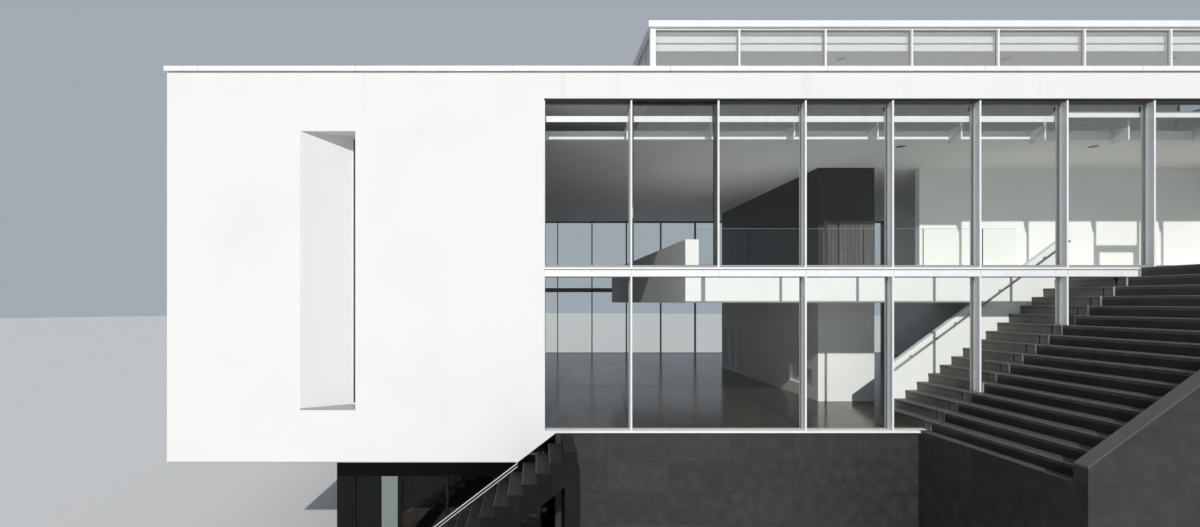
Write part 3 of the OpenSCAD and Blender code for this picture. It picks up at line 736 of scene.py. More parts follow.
@dataclass(frozen=True)
class BrushedSteel(Finish):
    """Brushed stainless steel, with fine lines along its length."""

    slope: float = 0.0
    colour: Colour = (0.58, 0.585, 0.59, 1.0)

    def material(self) -> bpy.types.Material:
        """Makes the material.

        Returns:
            The finished material.
        """
        g = Graph(self.name)
        lines = g.noise(
            g.stretched(g.place(), (3.0, 900.0, 900.0), (0.0, self.slope, 0.0)), 1.0, 2.0
        )
        smears = g.noise(g.place(), 9.0, 4.0)
        return g.surface({
            "Base Color": g.blend(lines * 0.35, self.colour, grey(0.42)),
            "Roughness": 0.2 + lines * 0.14 + smears.ease(0.5, 0.8) * 0.1,
            "Normal": g.bump(lines, 0.00008, 0.5),
            "Metallic": 1.0,
        })


@dataclass(frozen=True)
class Rubber(Finish):
    """Weather seals and fixings, and dark sheets of painted shade: matt, with a fine bloom."""

    colour: Colour = (0.012, 0.012, 0.013, 1.0)
    pale: Colour = (0.05, 0.05, 0.05, 1.0)

    def material(self) -> bpy.types.Material:
        """Makes the material.

        Returns:
            The finished material.
        """
        g = Graph(self.name)
        bloom = g.noise(g.place(), 60.0, 3.0)
        return g.surface({
            "Base Color": g.blend(bloom.ease(0.5, 0.8) * 0.4, self.colour, self.pale),
            "Roughness": 0.62 + bloom * 0.2,
            "Normal": g.bump(bloom, 0.0002, 0.3),
        })


@dataclass(frozen=True)
class StudioFloor(Finish):
    """Plain pale floor of the studio."""

    colour: Colour = (0.62, 0.62, 0.61, 1.0)

    def material(self) -> bpy.types.Material:
        """Returns the finished material."""
        return Graph(self.name).surface({"Base Color": self.colour, "Roughness": 0.9})


# Mesh building


class Shape:
    """A mesh under construction, in the house's own axes."""

    def __init__(self) -> None:
        """Starts an empty mesh."""
        self.mesh = bmesh.new()

    def block(self, low: Iterable[float], high: Iterable[float], bevel: float = 0.0) -> None:
        """Adds a box with bevelled edges.

        Args:
            low: its lowest corner.
            high: its highest corner.
            bevel: the width of the bevels.
        """
        low, high = Vector(low), Vector(high)
        size = high - low
        matrix = Matrix.Translation((low + high) / 2) @ Matrix.Diagonal((*size, 1.0))
        made = bmesh.ops.create_cube(self.mesh, size=1.0, matrix=matrix)
        if bevel:
            self.bevel(made["verts"], bevel)

    def rod(self, start: Iterable[float], end: Iterable[float], radius: float,
            tip: float | None = None, sides: int = 20, bevel: float = 0.0) -> None:
        """Adds a round bar between two points.

        Args:
            start: the middle of one end.
            end: the middle of the other end.
            radius: the radius at the start.
            tip: the radius at the end, where it differs.
            sides: the number of its sides.
            bevel: the width of the bevels at its ends.
        """
        start, end = Vector(start), Vector(end)
        turn = (end - start).to_track_quat("Z", "Y").to_matrix().to_4x4()
        made = bmesh.ops.create_cone(
            self.mesh, cap_ends=True, segments=sides, radius1=radius,
            radius2=radius if tip is None else tip, depth=(end - start).length,
            matrix=Matrix.Translation((start + end) / 2) @ turn,
        )
        if bevel:
            rims = {e for v in made["verts"] for e in v.link_edges
                    if any(len(f.verts) > 4 for f in e.link_faces)}
            bmesh.ops.bevel(self.mesh, geom=list(rims), offset=bevel, segments=2, profile=0.5,
                            affect="EDGES", material=-1)

    def bevel(self, verts: Iterable[bmesh.types.BMVert], width: float) -> None:
        """Bevels all edges of the solid with these vertices."""
        edges = {edge for vert in verts for edge in vert.link_edges}
        bmesh.ops.bevel(self.mesh, geom=list(edges), offset=width, segments=1, profile=0.5,
                        affect="EDGES", material=-1)

    def prism(self, outline: Iterable[Iterable[float]], along: Iterable[float],
              bevel: float = 0.0) -> None:
        """Adds an outline carried along a straight line.

        Args:
            outline: the corners of one end.
            along: the way from that end to the other.
            bevel: the width of the bevels.
        """
        verts = [self.mesh.verts.new(Vector(corner)) for corner in outline]
        face = self.mesh.faces.new(verts)
        made = bmesh.ops.extrude_face_region(self.mesh, geom=[face])
        moved = [item for item in made["geom"] if isinstance(item, bmesh.types.BMVert)]
        bmesh.ops.translate(self.mesh, verts=moved, vec=Vector(along))
        if bevel:
            self.bevel(verts + moved, bevel)

    def turned(self, profile: Iterable[tuple[float, float]], centre: Vector, steps: int = 40) -> None:
        """Adds a closed profile turned round an upright axis.

        Args:
            profile: the radius and height of each corner.
            centre: where the axis stands, at height zero of the profile.
            steps: the number of its sides.
        """
        verts = [self.mesh.verts.new(centre + Vector((r, 0.0, z))) for r, z in profile]
        edges = [self.mesh.edges.new(pair) for pair in zip(verts, verts[1:] + verts[:1])]
        bmesh.ops.spin(self.mesh, geom=verts + edges, cent=centre, axis=(0.0, 0.0, 1.0),
                       angle=math.tau, steps=steps, use_merge=True)


# Which finish goes where

WHITE: Colour = (0.80, 0.805, 0.81, 1.0)
DUSTY: Colour = (0.52, 0.51, 0.49, 1.0)

SLOT_FINISHES = {
    Slot.RENDER: "mineral_render",
    Slot.PLASTER: "painted_plaster",
    Slot.WHITE_METAL: "white_coat",
    Slot.DARK_METAL: "dark_coat",
    Slot.GLASS: "clear_glass",
    Slot.DARK_STONE: "stone_cladding",
    Slot.CONCRETE: "fair_concrete",
    Slot.FLOOR: "polished_floor",
    Slot.ROOFING: "roof_membrane",
    Slot.BLACK_BOARD: "black_boards",
    Slot.GREY_BOARD: "grey_boards",
    Slot.STEEL: "rail_steel",
}

NODE_FINISHES = {
    "outer_treads": "stone_treads",
    # Painted light: the treads inside take a lighter copy of the tread stone.
    "inner_treads": "inner_treads_painted_light",
    # Painted shade: the garden stair takes a darker copy of the tread stone.
    "garden_treads": "garden_stone_painted_shade",
    "garden_flight": "garden_stone_painted_shade",
    # Painted shade: the lower walls take a darker copy of the cladding.
    "lower_walls": "lower_stone_painted_shade",
    "cheek_wall": "stone_cladding",
    # Painted shade: the lower frame takes a darker copy of the dark coat.
    "lower_frame": "lower_coat_painted_shade",
    # Painted light: these rails take a coat that is white where they show lit.
    "upper_front_rails": "rail_coat",
    "lantern_glass": "lantern_glass",
    "lower_pier": "pier_coat",
    "lower_floor": "polished_floor",
    "landing": "stone_landing",
    "box_soffit": "white_boards",
    "coping": "white_coping",
}


class Palette:
    """Every material of the house, by the name of its finish."""

    def __init__(self, house: House) -> None:
        """Makes each material once.

        Args:
            house: the sizes of the house.
        """
        finishes = self.coats(house) + self.stones(house) + self.others(house)
        self.made = {finish.name: finish.material() for finish in finishes}

    def __getitem__(self, name: str) -> bpy.types.Material:
        """Returns the material of a finish."""
        return self.made[name]

    def coats(self, house: House) -> list[Finish]:
        """Lists the powder coats.

        Args:
            house: the sizes of the house.

        Returns:
            The coats.
        """
        low = house.origin
        return [
            PowderCoat("white_coat", WHITE, DUSTY),
            PowderCoat("white_coping", WHITE, DUSTY, seam=3.0),
            PowderCoat("grey_coat", grey(0.30), grey(0.42)),
            PowderCoat("dark_coat", grey(0.022), grey(0.10, 0.03), 0.4),
            # Painted light on the rails of the upper glass: the dark coat stays in front of the glass
            # plane, and white covers them behind it and partly below the level, where the view shows
            # light.
            PowderCoat(
                "rail_coat", grey(0.022), grey(0.10, 0.03), 0.4, second=WHITE,
                level=low.z + house.storey + 1.0, plane=low.y + 0.17,
            ),
            # Painted shade: a near-black copy of the dark coat for the frame that stands in shadow under
            # the box.
            PowderCoat("lower_coat_painted_shade", grey(0.008), grey(0.03), ior=1.2),
            PowderCoat("pier_coat", (0.19, 0.225, 0.215, 1.0), (0.16, 0.19, 0.18, 1.0)),
        ]

    def stones(self, house: House) -> list[Finish]:
        """Lists the kinds of stone: slabs on walls, treads, and stone without joints.

        Args:
            house: the sizes of the house.

        Returns:
            The stones.
        """
        low = house.origin
        slabs = partial(HonedStone, pitches=(1.2, 1.2, 0.6), starts=tuple(low))
        treads = partial(
            HonedStone, pitches=(house.tread * 64, 1.0, house.riser * 64),
            starts=(low.x + 0.11, low.y - 0.17, low.z - 0.03), joint_w=0.004,
        )
        solid = partial(HonedStone, pitches=(90.0,) * 3, starts=(-40.0,) * 3)
        return [
            slabs("stone_cladding", colour=grey(0.017), pale=grey(0.044)),
            # Painted shade: a darker copy of the cladding for the lower walls, which stand in shadow.
            slabs("lower_stone_painted_shade", colour=grey(0.006), pale=grey(0.014), joint=grey(0.004), ior=1.2),
            treads("stone_treads", dusty=grey(0.075), roughness=0.38),
            # Painted light: a lighter copy of the tread stone for the treads inside, lit behind the
            # glass.
            treads("inner_treads_painted_light", colour=grey(0.06, 0.06), pale=grey(0.12, 0.06), roughness=0.38),
            # Painted shade: a darker copy of the tread stone for the garden stair, which lies in shadow.
            treads("garden_stone_painted_shade", colour=grey(0.006), pale=grey(0.016), dusty=grey(0.02), ior=1.2),
            HonedStone(
                "stone_landing", (1.0, 1.0, 9.0), (low.x + 0.642, low.y - 0.17, low.z - 2.0)
            ),
            # Near-black risers for the outer and garden stair: dark stone, made darker still as painted
            # shade.
            solid("stone_risers", colour=grey(0.007), pale=grey(0.018), roughness=0.3),
            # Painted light: a lighter copy of the riser stone for the risers inside.
            solid("inner_risers_painted_light", colour=grey(0.10, 0.07), pale=grey(0.17, 0.07)),
            # Pale ground edges; their paleness also paints the highlight along the nosings.
            solid("ground_edge_and_highlight", colour=grey(0.30), pale=grey(0.44), roughness=0.3),
            # Painted shade: a darker copy of the pale tread edges for the garden stair.
            solid("garden_stone_edge", colour=grey(0.06), pale=grey(0.10), roughness=0.3),
            solid(
                "grey_coping_stone", colour=grey(0.06), pale=grey(0.09), dusty=grey(0.085),
                roughness=0.6,
            ),
        ]

    def others(self, house: House) -> list[Finish]:
        """Lists the finishes that are neither coats nor stones.

        Args:
            house: the sizes of the house.

        Returns:
            The finishes.
        """
        slope = math.atan2(house.riser, house.tread)
        return [
            MineralRender("mineral_render", house.origin.z + house.wall_top),
            Plaster("painted_plaster"),
            ClearGlass("clear_glass"),
            # The lantern glass takes a heavy pale film: dust in part, and in part a painted reflection
            # of the bright sky.
            ClearGlass("lantern_glass", film=0.16),
            FairConcrete("fair_concrete"),
            PolishedFloor("polished_floor"),
            Membrane("roof_membrane"),
            StainedBoards("black_boards", grey(0.006), grey(0.018, 0.05), 0.3),
            StainedBoards("grey_boards", grey(0.05, 0.02), grey(0.12, 0.02), 0.095),
            StainedBoards("white_boards", grey(0.72), grey(0.62), 0.14, laid_along_y=True),
            BrushedSteel("rail_steel", slope, grey(0.24)),
            BrushedSteel("brushed_steel"),
            # Black for seals, flanges and joints, and also for the sheets of painted shade.
            Rubber("black_rubber_and_painted_shade"),
            Rubber("grey_silicone", grey(0.26), grey(0.34)),
        ]

    def dress(self) -> None:
        """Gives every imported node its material."""
        for part in frame["record"]["subparts"]:
            node = frame["nodes"][part["node"]]
            finish = NODE_FINISHES.get(part["node"], SLOT_FINISHES[Slot(part["material_slot"])])
            node.data.materials.clear()
            node.data.materials.append(self[finish])
            log.info("%s: %s", node.name, finish)


@dataclass
class Assembly:
    """A group of pieces that are made together."""

    house: House
    palette: Palette
    made: list[bpy.types.Object] = field(default_factory=list)

    def build(self) -> None:
        """Makes the pieces."""
        raise NotImplementedError

    def done(self, shape: Shape, name: str, slot: Slot, finish: str) -> None:
        """Makes a shape into a finished piece, in the frame of the part.

        Args:
            shape: the shape.
            name: the piece's name.
            slot: the record's slot; not used.
            finish: the name of its finish.
        """
        bmesh.ops.translate(shape.mesh, verts=shape.mesh.verts, vec=self.house.origin)
        bmesh.ops.recalc_face_normals(shape.mesh, faces=shape.mesh.faces)
        data = bpy.data.meshes.new(name)
        shape.mesh.to_mesh(data)
        shape.mesh.free()
        data.materials.append(self.palette[finish])
        piece = linked(name, data)
        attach(piece, BODY)
        self.made.append(piece)


# Glass


@dataclass
class GlassSeals(Assembly):
    """Seals round every pane, on both faces."""

    width: float = 0.014
    proud: float = 0.005
    sheet_ratio: float = 0.02

    def under_nosings(self, point: Vector) -> bool:
        """Tells whether a point of the lower glass is under the line of the nosings.

        Args:
            point: the point, in the frame of the part.

        Returns:
            True for what stands in the slot between the treads.
        """
        house = self.house
        x, _, z = point - house.origin
        steps = (x - house.stair_start) / house.tread + 1.0
        return x > house.stair_start - self.width and z < steps * house.riser

    def ring(self, node: str) -> Shape:
        """Makes the seals of one node's panes.

        Args:
            node: the node with the panes.

        Returns:
            The seals as one shape.
        """
        shape = Shape()
        work = shape.mesh
        work.from_mesh(frame["nodes"][node].data)
        bmesh.ops.remove_doubles(work, verts=work.verts, dist=1e-5)
        bmesh.ops.dissolve_limit(work, angle_limit=0.02, verts=work.verts, edges=work.edges)
        narrow = [f for f in work.faces if f.calc_area() < self.sheet_ratio * f.calc_perimeter()]
        bmesh.ops.delete(work, geom=narrow, context="FACES")
        panes = list(work.faces)
        bmesh.ops.inset_individual(work, faces=panes, thickness=self.width, use_even_offset=True)
        bmesh.ops.delete(work, geom=panes, context="FACES_ONLY")
        if node == "lower_front_glass":
            in_slot = [f for f in work.faces if self.under_nosings(f.calc_center_median())]
            bmesh.ops.delete(work, geom=in_slot, context="FACES")
        bmesh.ops.solidify(work, geom=list(work.faces), thickness=-self.proud)
        bmesh.ops.translate(work, verts=work.verts, vec=-self.house.origin)
        return shape

    def build(self) -> None:
        """Makes the seals of each glass node."""
        for node in sorted(name for name in frame["nodes"] if name.endswith("_glass")):
            self.done(self.ring(node), f"{node}_seals", Slot.DARK_METAL, "grey_silicone")


# The white box


@dataclass
class NicheSill(Assembly):
    """Metal sill plate on the foot of the slit niche, with a drip lip."""

    mouth_w: float = 1.05
    plate: float = 0.004
    lip_out: float = 0.014
    lip_drop: float = 0.022

    def build(self) -> None:
        """Makes the sill plate."""
        low, high = self.house.box("slit_frame")
        mouth_x = high.x - self.mouth_w
        plan = [
            (mouth_x, -self.lip_out, low.z), (high.x, -self.lip_out, low.z),
            (high.x, low.y, low.z), (low.x, low.y, low.z), (mouth_x, 0.0, low.z),
        ]
        shape = Shape()
        shape.prism(plan, (0.0, 0.0, self.plate))
        shape.block(
            (mouth_x, -self.lip_out, low.z - self.lip_drop),
            (high.x, -self.lip_out + self.plate, low.z), bevel=0.001,
        )
        self.done(shape, "niche_sill", Slot.STEEL, "grey_coat")


@dataclass
class BaseBead(Assembly):
    """Stop bead along the lower edges of the render."""

    proud: float = 0.003
    height: float = 0.012
    depth: float = 0.02

    def build(self) -> None:
        """Makes the beads under the front and the back wall."""
        shape = Shape()
        front_low, _ = self.house.box("front_wall")
        back_low, back_high = self.house.box("back_wall")
        foot_x = self.house.box("garden_stringer")[1].x
        shape.block(
            (front_low.x + self.depth, -self.proud, front_low.z - self.proud),
            (foot_x - self.depth, self.depth, front_low.z + self.height), bevel=0.001,
        )
        shape.block(
            (back_low.x + self.depth, back_high.y - self.depth, back_low.z - self.proud),
            (back_high.x - self.depth, back_high.y + self.proud, back_low.z + self.height), bevel=0.001,
        )
        self.done(shape, "render_stop_beads", Slot.WHITE_METAL, "grey_coat")


# Roof


@dataclass
class RoofEdge(Assembly):
    """Clamping bar along the upstands of the roof, held by screws."""

    upstand: float = 0.3
    rise: float = 0.2
    bar_h: float = 0.035
    bar_t: float = 0.005
    screw_pitch: float = 0.5
    screw_r: float = 0.007
    screw_tip: float = 0.0042
    screw_t: float = 0.004

    def run(self, start: Vector, end: Vector, inward: Vector, bars: Shape, screws: Shape) -> None:
        """Adds the bar along one side.

        Args:
            start: one end of the side, on the face of the upstand.
            end: its other end.
            inward: the way off the upstand.
            bars: the shape that takes the bar.
            screws: the shape that takes the screws.
        """
        off = inward * self.bar_t
        corners = [start, end, start + off, end + off]
        low = Vector(map(min, *corners))
        high = Vector(map(max, *corners))
        bars.block(low, high + UP * self.bar_h, bevel=0.001)
        count = int((end - start).length / self.screw_pitch)
        for k in range(count):
            foot = start.lerp(end, (k + 0.5) / count) + UP * (self.bar_h / 2) + off
            screws.rod(foot, foot + inward * self.screw_t, self.screw_r, self.screw_tip, sides=12)

    def build(self) -> None:
        """Makes the bars and their screws."""
        z = self.house.box("roof_slab")[1].z + self.rise
        wall_high = self.house.box("right_wall")[1]
        left, right = self.house.box("left_wall")[0].x + self.upstand, wall_high.x - self.upstand
        front, back = self.upstand, wall_high.y - self.upstand
        bars, screws = Shape(), Shape()
        sides = (
            ((left, front), (right, front), (0.0, 1.0)), ((left, back), (right, back), (0.0, -1.0)),
            ((left, front), (left, back), (1.0, 0.0)), ((right, front), (right, back), (-1.0, 0.0)),
        )
        for start, end, inward in sides:
            self.run(Vector((*start, z)), Vector((*end, z)), Vector((*inward, 0.0)), bars, screws)
        self.done(bars, "roof_clamping_bars", Slot.STEEL, "brushed_steel")
        self.done(screws, "roof_bar_screws", Slot.STEEL, "brushed_steel")


@dataclass
class RoofOutlets(Assembly):
    """Rainwater outlets: a flange, and a domed grate of bent ribs."""

    places: tuple[tuple[float, float], ...] = ((-4.6, 3.0), (-4.6, 13.0), (5.0, 13.0), (13.4, 13.0))
    radius: float = 0.09
    rise: float = 1.1
    bends: tuple[float, ...] = (0.0, 30.0, 60.0, 84.0)
    rib_r: float = 0.004
    ribs: int = 12
    hub_r: float = 0.016
    hub_low: float = 0.006
    hub_high: float = 0.004
    flange_r: float = 0.17
    flange_t: float = 0.006
    flange_slope: float = 0.004

    def grate(self, shape: Shape, centre: Vector) -> None:
        """Adds the ribs and the hub of one dome.

        Args:
            shape: the shape that takes them.
            centre: the middle of the outlet on the roof.
        """
        arc = [(math.cos(a), self.rise * math.sin(a)) for a in map(math.radians, self.bends)]
        for k in range(self.ribs):
            turn = math.tau * k / self.ribs
            points = [
                centre + self.radius * Vector((out * math.cos(turn), out * math.sin(turn), up))
                for out, up in arc
            ]
            for start, end in zip(points, points[1:]):
                shape.rod(start, end, self.rib_r, sides=8)
        top = centre + UP * (self.radius * self.rise)
        shape.rod(top - UP * self.hub_low, top + UP * self.hub_high, self.hub_r, bevel=0.002)

    def build(self) -> None:
        """Makes the grates and their flanges."""
        roof = self.house.box("roof_slab")[1].z
        grates, flanges = Shape(), Shape()
        for x, y in self.places:
            foot = Vector((x, y, roof))
            top = foot + UP * self.flange_t
            flanges.rod(foot, top, self.flange_r, self.flange_r - self.flange_slope, sides=40)
            self.grate(grates, top)
        self.done(grates, "roof_outlet_grates", Slot.STEEL, "brushed_steel")
        self.done(flanges, "roof_outlet_flanges", Slot.ROOFING, "black_rubber_and_painted_shade")


@dataclass
class Downlights(Assembly):
    """Round lamps in the ceiling behind the glass and in the lantern: a trim, and a stepped baffle."""

    ceiling_places: tuple[tuple[float, float], ...] = ((7.66, 1.24), (11.79, 1.24), (15.92, 1.24))
    lantern_places: tuple[tuple[float, float], ...] = ((6.5, 1.45), (10.1, 1.45), (13.7, 1.45))
    radius: float = 0.1
    trim: float = 0.008
    drop: float = 0.004
    chamfer: float = 0.002
    rings: int = 4
    ring_in: float = 0.001
    ring_out: float = 0.0025
    lens_t: float = 0.0015

    def lamp(self, trims: Shape, baffles: Shape, centre: Vector) -> None:
        """Adds one lamp.

        Args:
            trims: the shape that takes its trim.
            baffles: the shape that takes its baffle.
            centre: its middle, on the underside of the ceiling.
        """
        rim, inner = self.radius, self.radius - self.trim
        trims.turned(
            ((rim, 0.0), (inner, 0.0), (inner, -self.drop), (rim - self.chamfer, -self.drop)), centre
        )
        step = inner / (self.rings + 1)
        for k in range(self.rings):
            out = inner - k * step
            profile = ((out, 0.0), (out - step, 0.0), (out - step, -self.ring_in), (out, -self.ring_out))
            baffles.turned(profile, centre)
        baffles.rod(centre, centre - UP * self.lens_t, step, tip=step * 0.8, sides=24)

    def build(self) -> None:
        """Makes the trims and the baffles."""
        trims, baffles = Shape(), Shape()
        ceiling = self.house.box("inner_ceiling")[0].z
        lantern = self.house.box("lantern_posts")[1].z
        for places, z in ((self.ceiling_places, ceiling), (self.lantern_places, lantern)):
            for x, y in places:
                self.lamp(trims, baffles, Vector((x, y, z)))
        self.done(trims, "downlight_trims", Slot.WHITE_METAL, "white_coat")
        self.done(baffles, "downlight_baffles", Slot.DARK_METAL, "dark_coat")


# Glass front


@dataclass
class PaintedShadeStrips(Assembly):
    """Dark strips of painted shade over the head rails and in the groove over the fascia, and dark
    strips at its joints.
    """

    head_h: float = 0.026
    head_t: float = 0.013
    groove_h: float = 0.013
    groove_t: float = 0.01
    strip_h: float = 0.037
    joint_w: float = 0.003
    front: float = 0.019
    inset: float = 0.001

    def build(self) -> None:
        """Makes the dark strips."""
        house = self.house
        low, high = house.box("front_transom")
        groove_top = high.z - self.strip_h
        back = self.front + self.groove_t
        shape = Shape()
        # Painted shade: the strip over the head rails and the strip in the groove stand where shade
        # falls; the narrow strips below are joints.
        shape.block(
            (self.inset, self.front - self.head_t, house.head - self.head_h),
            (house.glass_end - self.inset, self.front, house.head),
        )
        shape.block(
            (self.inset, self.front, groove_top - self.groove_h),
            (house.stair_end - self.inset, back, groove_top),
        )
        for i in range(1, int(house.stair_end / house.bay) + 1):
            left = i * house.bay - self.joint_w / 2
            shape.block((left, self.front, low.z), (left + self.joint_w, back, groove_top))
        self.done(shape, "front_painted_shade_strips", Slot.DARK_METAL, "black_rubber_and_painted_shade")


@dataclass
class SlidingLeaf(Assembly):
    """Dark frame of the sliding pane in the second bay, with its flush pull."""

    bay_index: int = 1
    width: float = 0.045
    sill: float = 0.008
    front: float = 0.1
    back: float = 0.153
    edge: float = 0.016
    rail: float = 0.042
    pull_w: float = 0.024
    pull_t: float = 0.004
    pull_z: tuple[float, float] = (0.92, 1.12)

    def build(self) -> None:
        """Makes the leaf's frame and pull."""
        house = self.house
        left = self.bay_index * house.bay + self.edge
        right = (self.bay_index + 1) * house.bay - self.edge
        foot, top = house.storey + self.rail, house.head - self.rail
        shape, pull = Shape(), Shape()
        for x in (left, right - self.width):
            shape.block((x, self.front, foot), (x + self.width, self.back, top), bevel=0.002)
        for low, high in ((foot, foot + self.sill), (top - self.width, top)):
            shape.block(
                (left + self.width, self.front, low), (right - self.width, self.back, high),
                bevel=0.002,
            )
        middle = left + self.width / 2
        pull.block(
            (middle - self.pull_w / 2, self.front - self.pull_t, foot + self.pull_z[0]),
            (middle + self.pull_w / 2, self.front, foot + self.pull_z[1]), bevel=0.003,
        )
        self.done(shape, "sliding_leaf_frame", Slot.DARK_METAL, "dark_coat")
        self.done(pull, "sliding_leaf_pull", Slot.STEEL, "brushed_steel")


@dataclass
class BladeClamps(Assembly):
    """Dark clamps that tie the blade behind the glass head to the mullions, with bolts."""

    half_w: float = 0.03
    low: float = 0.16
    high: float = 0.07
    depth: float = 0.02
    bolt_r: float = 0.008
    bolt_t: float = 0.006
    bolt_out: float = 0.018

    def build(self) -> None:
        """Makes the clamps and their bolts."""
        house = self.house
        back = house.box("upper_front_mullions")[1].y
        foot, top = house.head - self.low, house.head - self.high
        clamps, bolts = Shape(), Shape()
        for i in range(1, house.bays):
            x = i * house.bay
            clamps.block(
                (x - self.half_w, back, foot), (x + self.half_w, back + self.depth, top), bevel=0.003
            )
            for out in (-self.bolt_out, self.bolt_out):
                start = Vector((x + out, back + self.depth, (foot + top) / 2))
                bolts.rod(start, start + Vector((0.0, self.bolt_t, 0.0)), self.bolt_r, sides=6)
        self.done(clamps, "blade_clamps", Slot.DARK_METAL, "dark_coat")
        self.done(bolts, "blade_clamp_bolts", Slot.STEEL, "brushed_steel")


@dataclass
class DoorFittings(Assembly):
    """Hinges, lock plate and threshold of the entrance door."""

    face_in: float = 0.031
    hinge_r: float = 0.011
    hinge_h: float = 0.11
    pin_out: float = 0.008
    leaf_side: float = 0.002
    leaf_w: float = 0.035
    leaf_inset: float = 0.01
    leaf_in: float = 0.001
    levels: tuple[float, ...] = (0.22, 1.2, 2.13)
    lock_in: float = 0.042
    lock_z: float = 1.02
    lock_low: Triple = (-0.016, -0.004, -0.11)
    lock_high: Triple = (0.016, 0.001, -0.03)
    key_at: Triple = (0.0, -0.004, -0.075)
    key_way: Triple = (0.0, -0.006, 0.0)
    key_r: float = 0.0085
    threshold_h: float = 0.004
    threshold_y: tuple[float, float] = (0.02, 0.25)

    def hinges(self, x: float, face: float) -> Shape:
        """Makes the hinges: a pin, and a leaf on the door's face.

        Args:
            x: the door's left edge.
            face: the door's outer face along y.

        Returns:
            The hinges as one shape.
        """
        shape = Shape()
        side = self.leaf_side
        for level in self.levels:
            foot = Vector((x - side, face - self.pin_out, self.house.storey + level))
            top = foot.z + self.hinge_h
            shape.rod(foot, foot + UP * self.hinge_h, self.hinge_r, bevel=0.002)
            shape.block(
                (foot.x, face - side, foot.z + self.leaf_inset),
                (foot.x + self.leaf_w, face + self.leaf_in, top - self.leaf_inset), bevel=0.0008,
            )
        return shape

    def build(self) -> None:
        """Makes the fittings."""
        low, high = self.house.box("entrance_door")
        glass_low, glass_high = self.house.box("upper_front_glass")
        face = (glass_low.y + glass_high.y) / 2 - self.face_in
        floor = self.house.storey
        front, back = self.threshold_y
        lock, plate = Shape(), Shape()
        centre = Vector((high.x - self.lock_in, face, floor + self.lock_z))
        lock.block(centre + Vector(self.lock_low), centre + Vector(self.lock_high), bevel=0.002)
        key = centre + Vector(self.key_at)
        lock.rod(key, key + Vector(self.key_way), self.key_r, bevel=0.001)
        plate.block((low.x, front, floor), (high.x, back, floor + self.threshold_h), bevel=0.001)
        self.done(self.hinges(low.x, face), "door_hinges", Slot.STEEL, "brushed_steel")
        self.done(lock, "door_lock", Slot.STEEL, "brushed_steel")
        self.done(plate, "door_threshold", Slot.STEEL, "brushed_steel")


# The stone stair


@dataclass(frozen=True)
class Flight:
    """One flight of the stair, as it shows: treads that climb along x."""

    node: str
    start: float
    level: float
    tread: float
    riser: float
    count: int
    spans: tuple[tuple[float, float], ...]

    def corner(self, k: int) -> tuple[float, float]:
        """Returns the place along x of tread k's riser, and the level of its top."""
        return self.start + k * self.tread, self.level + k * self.riser


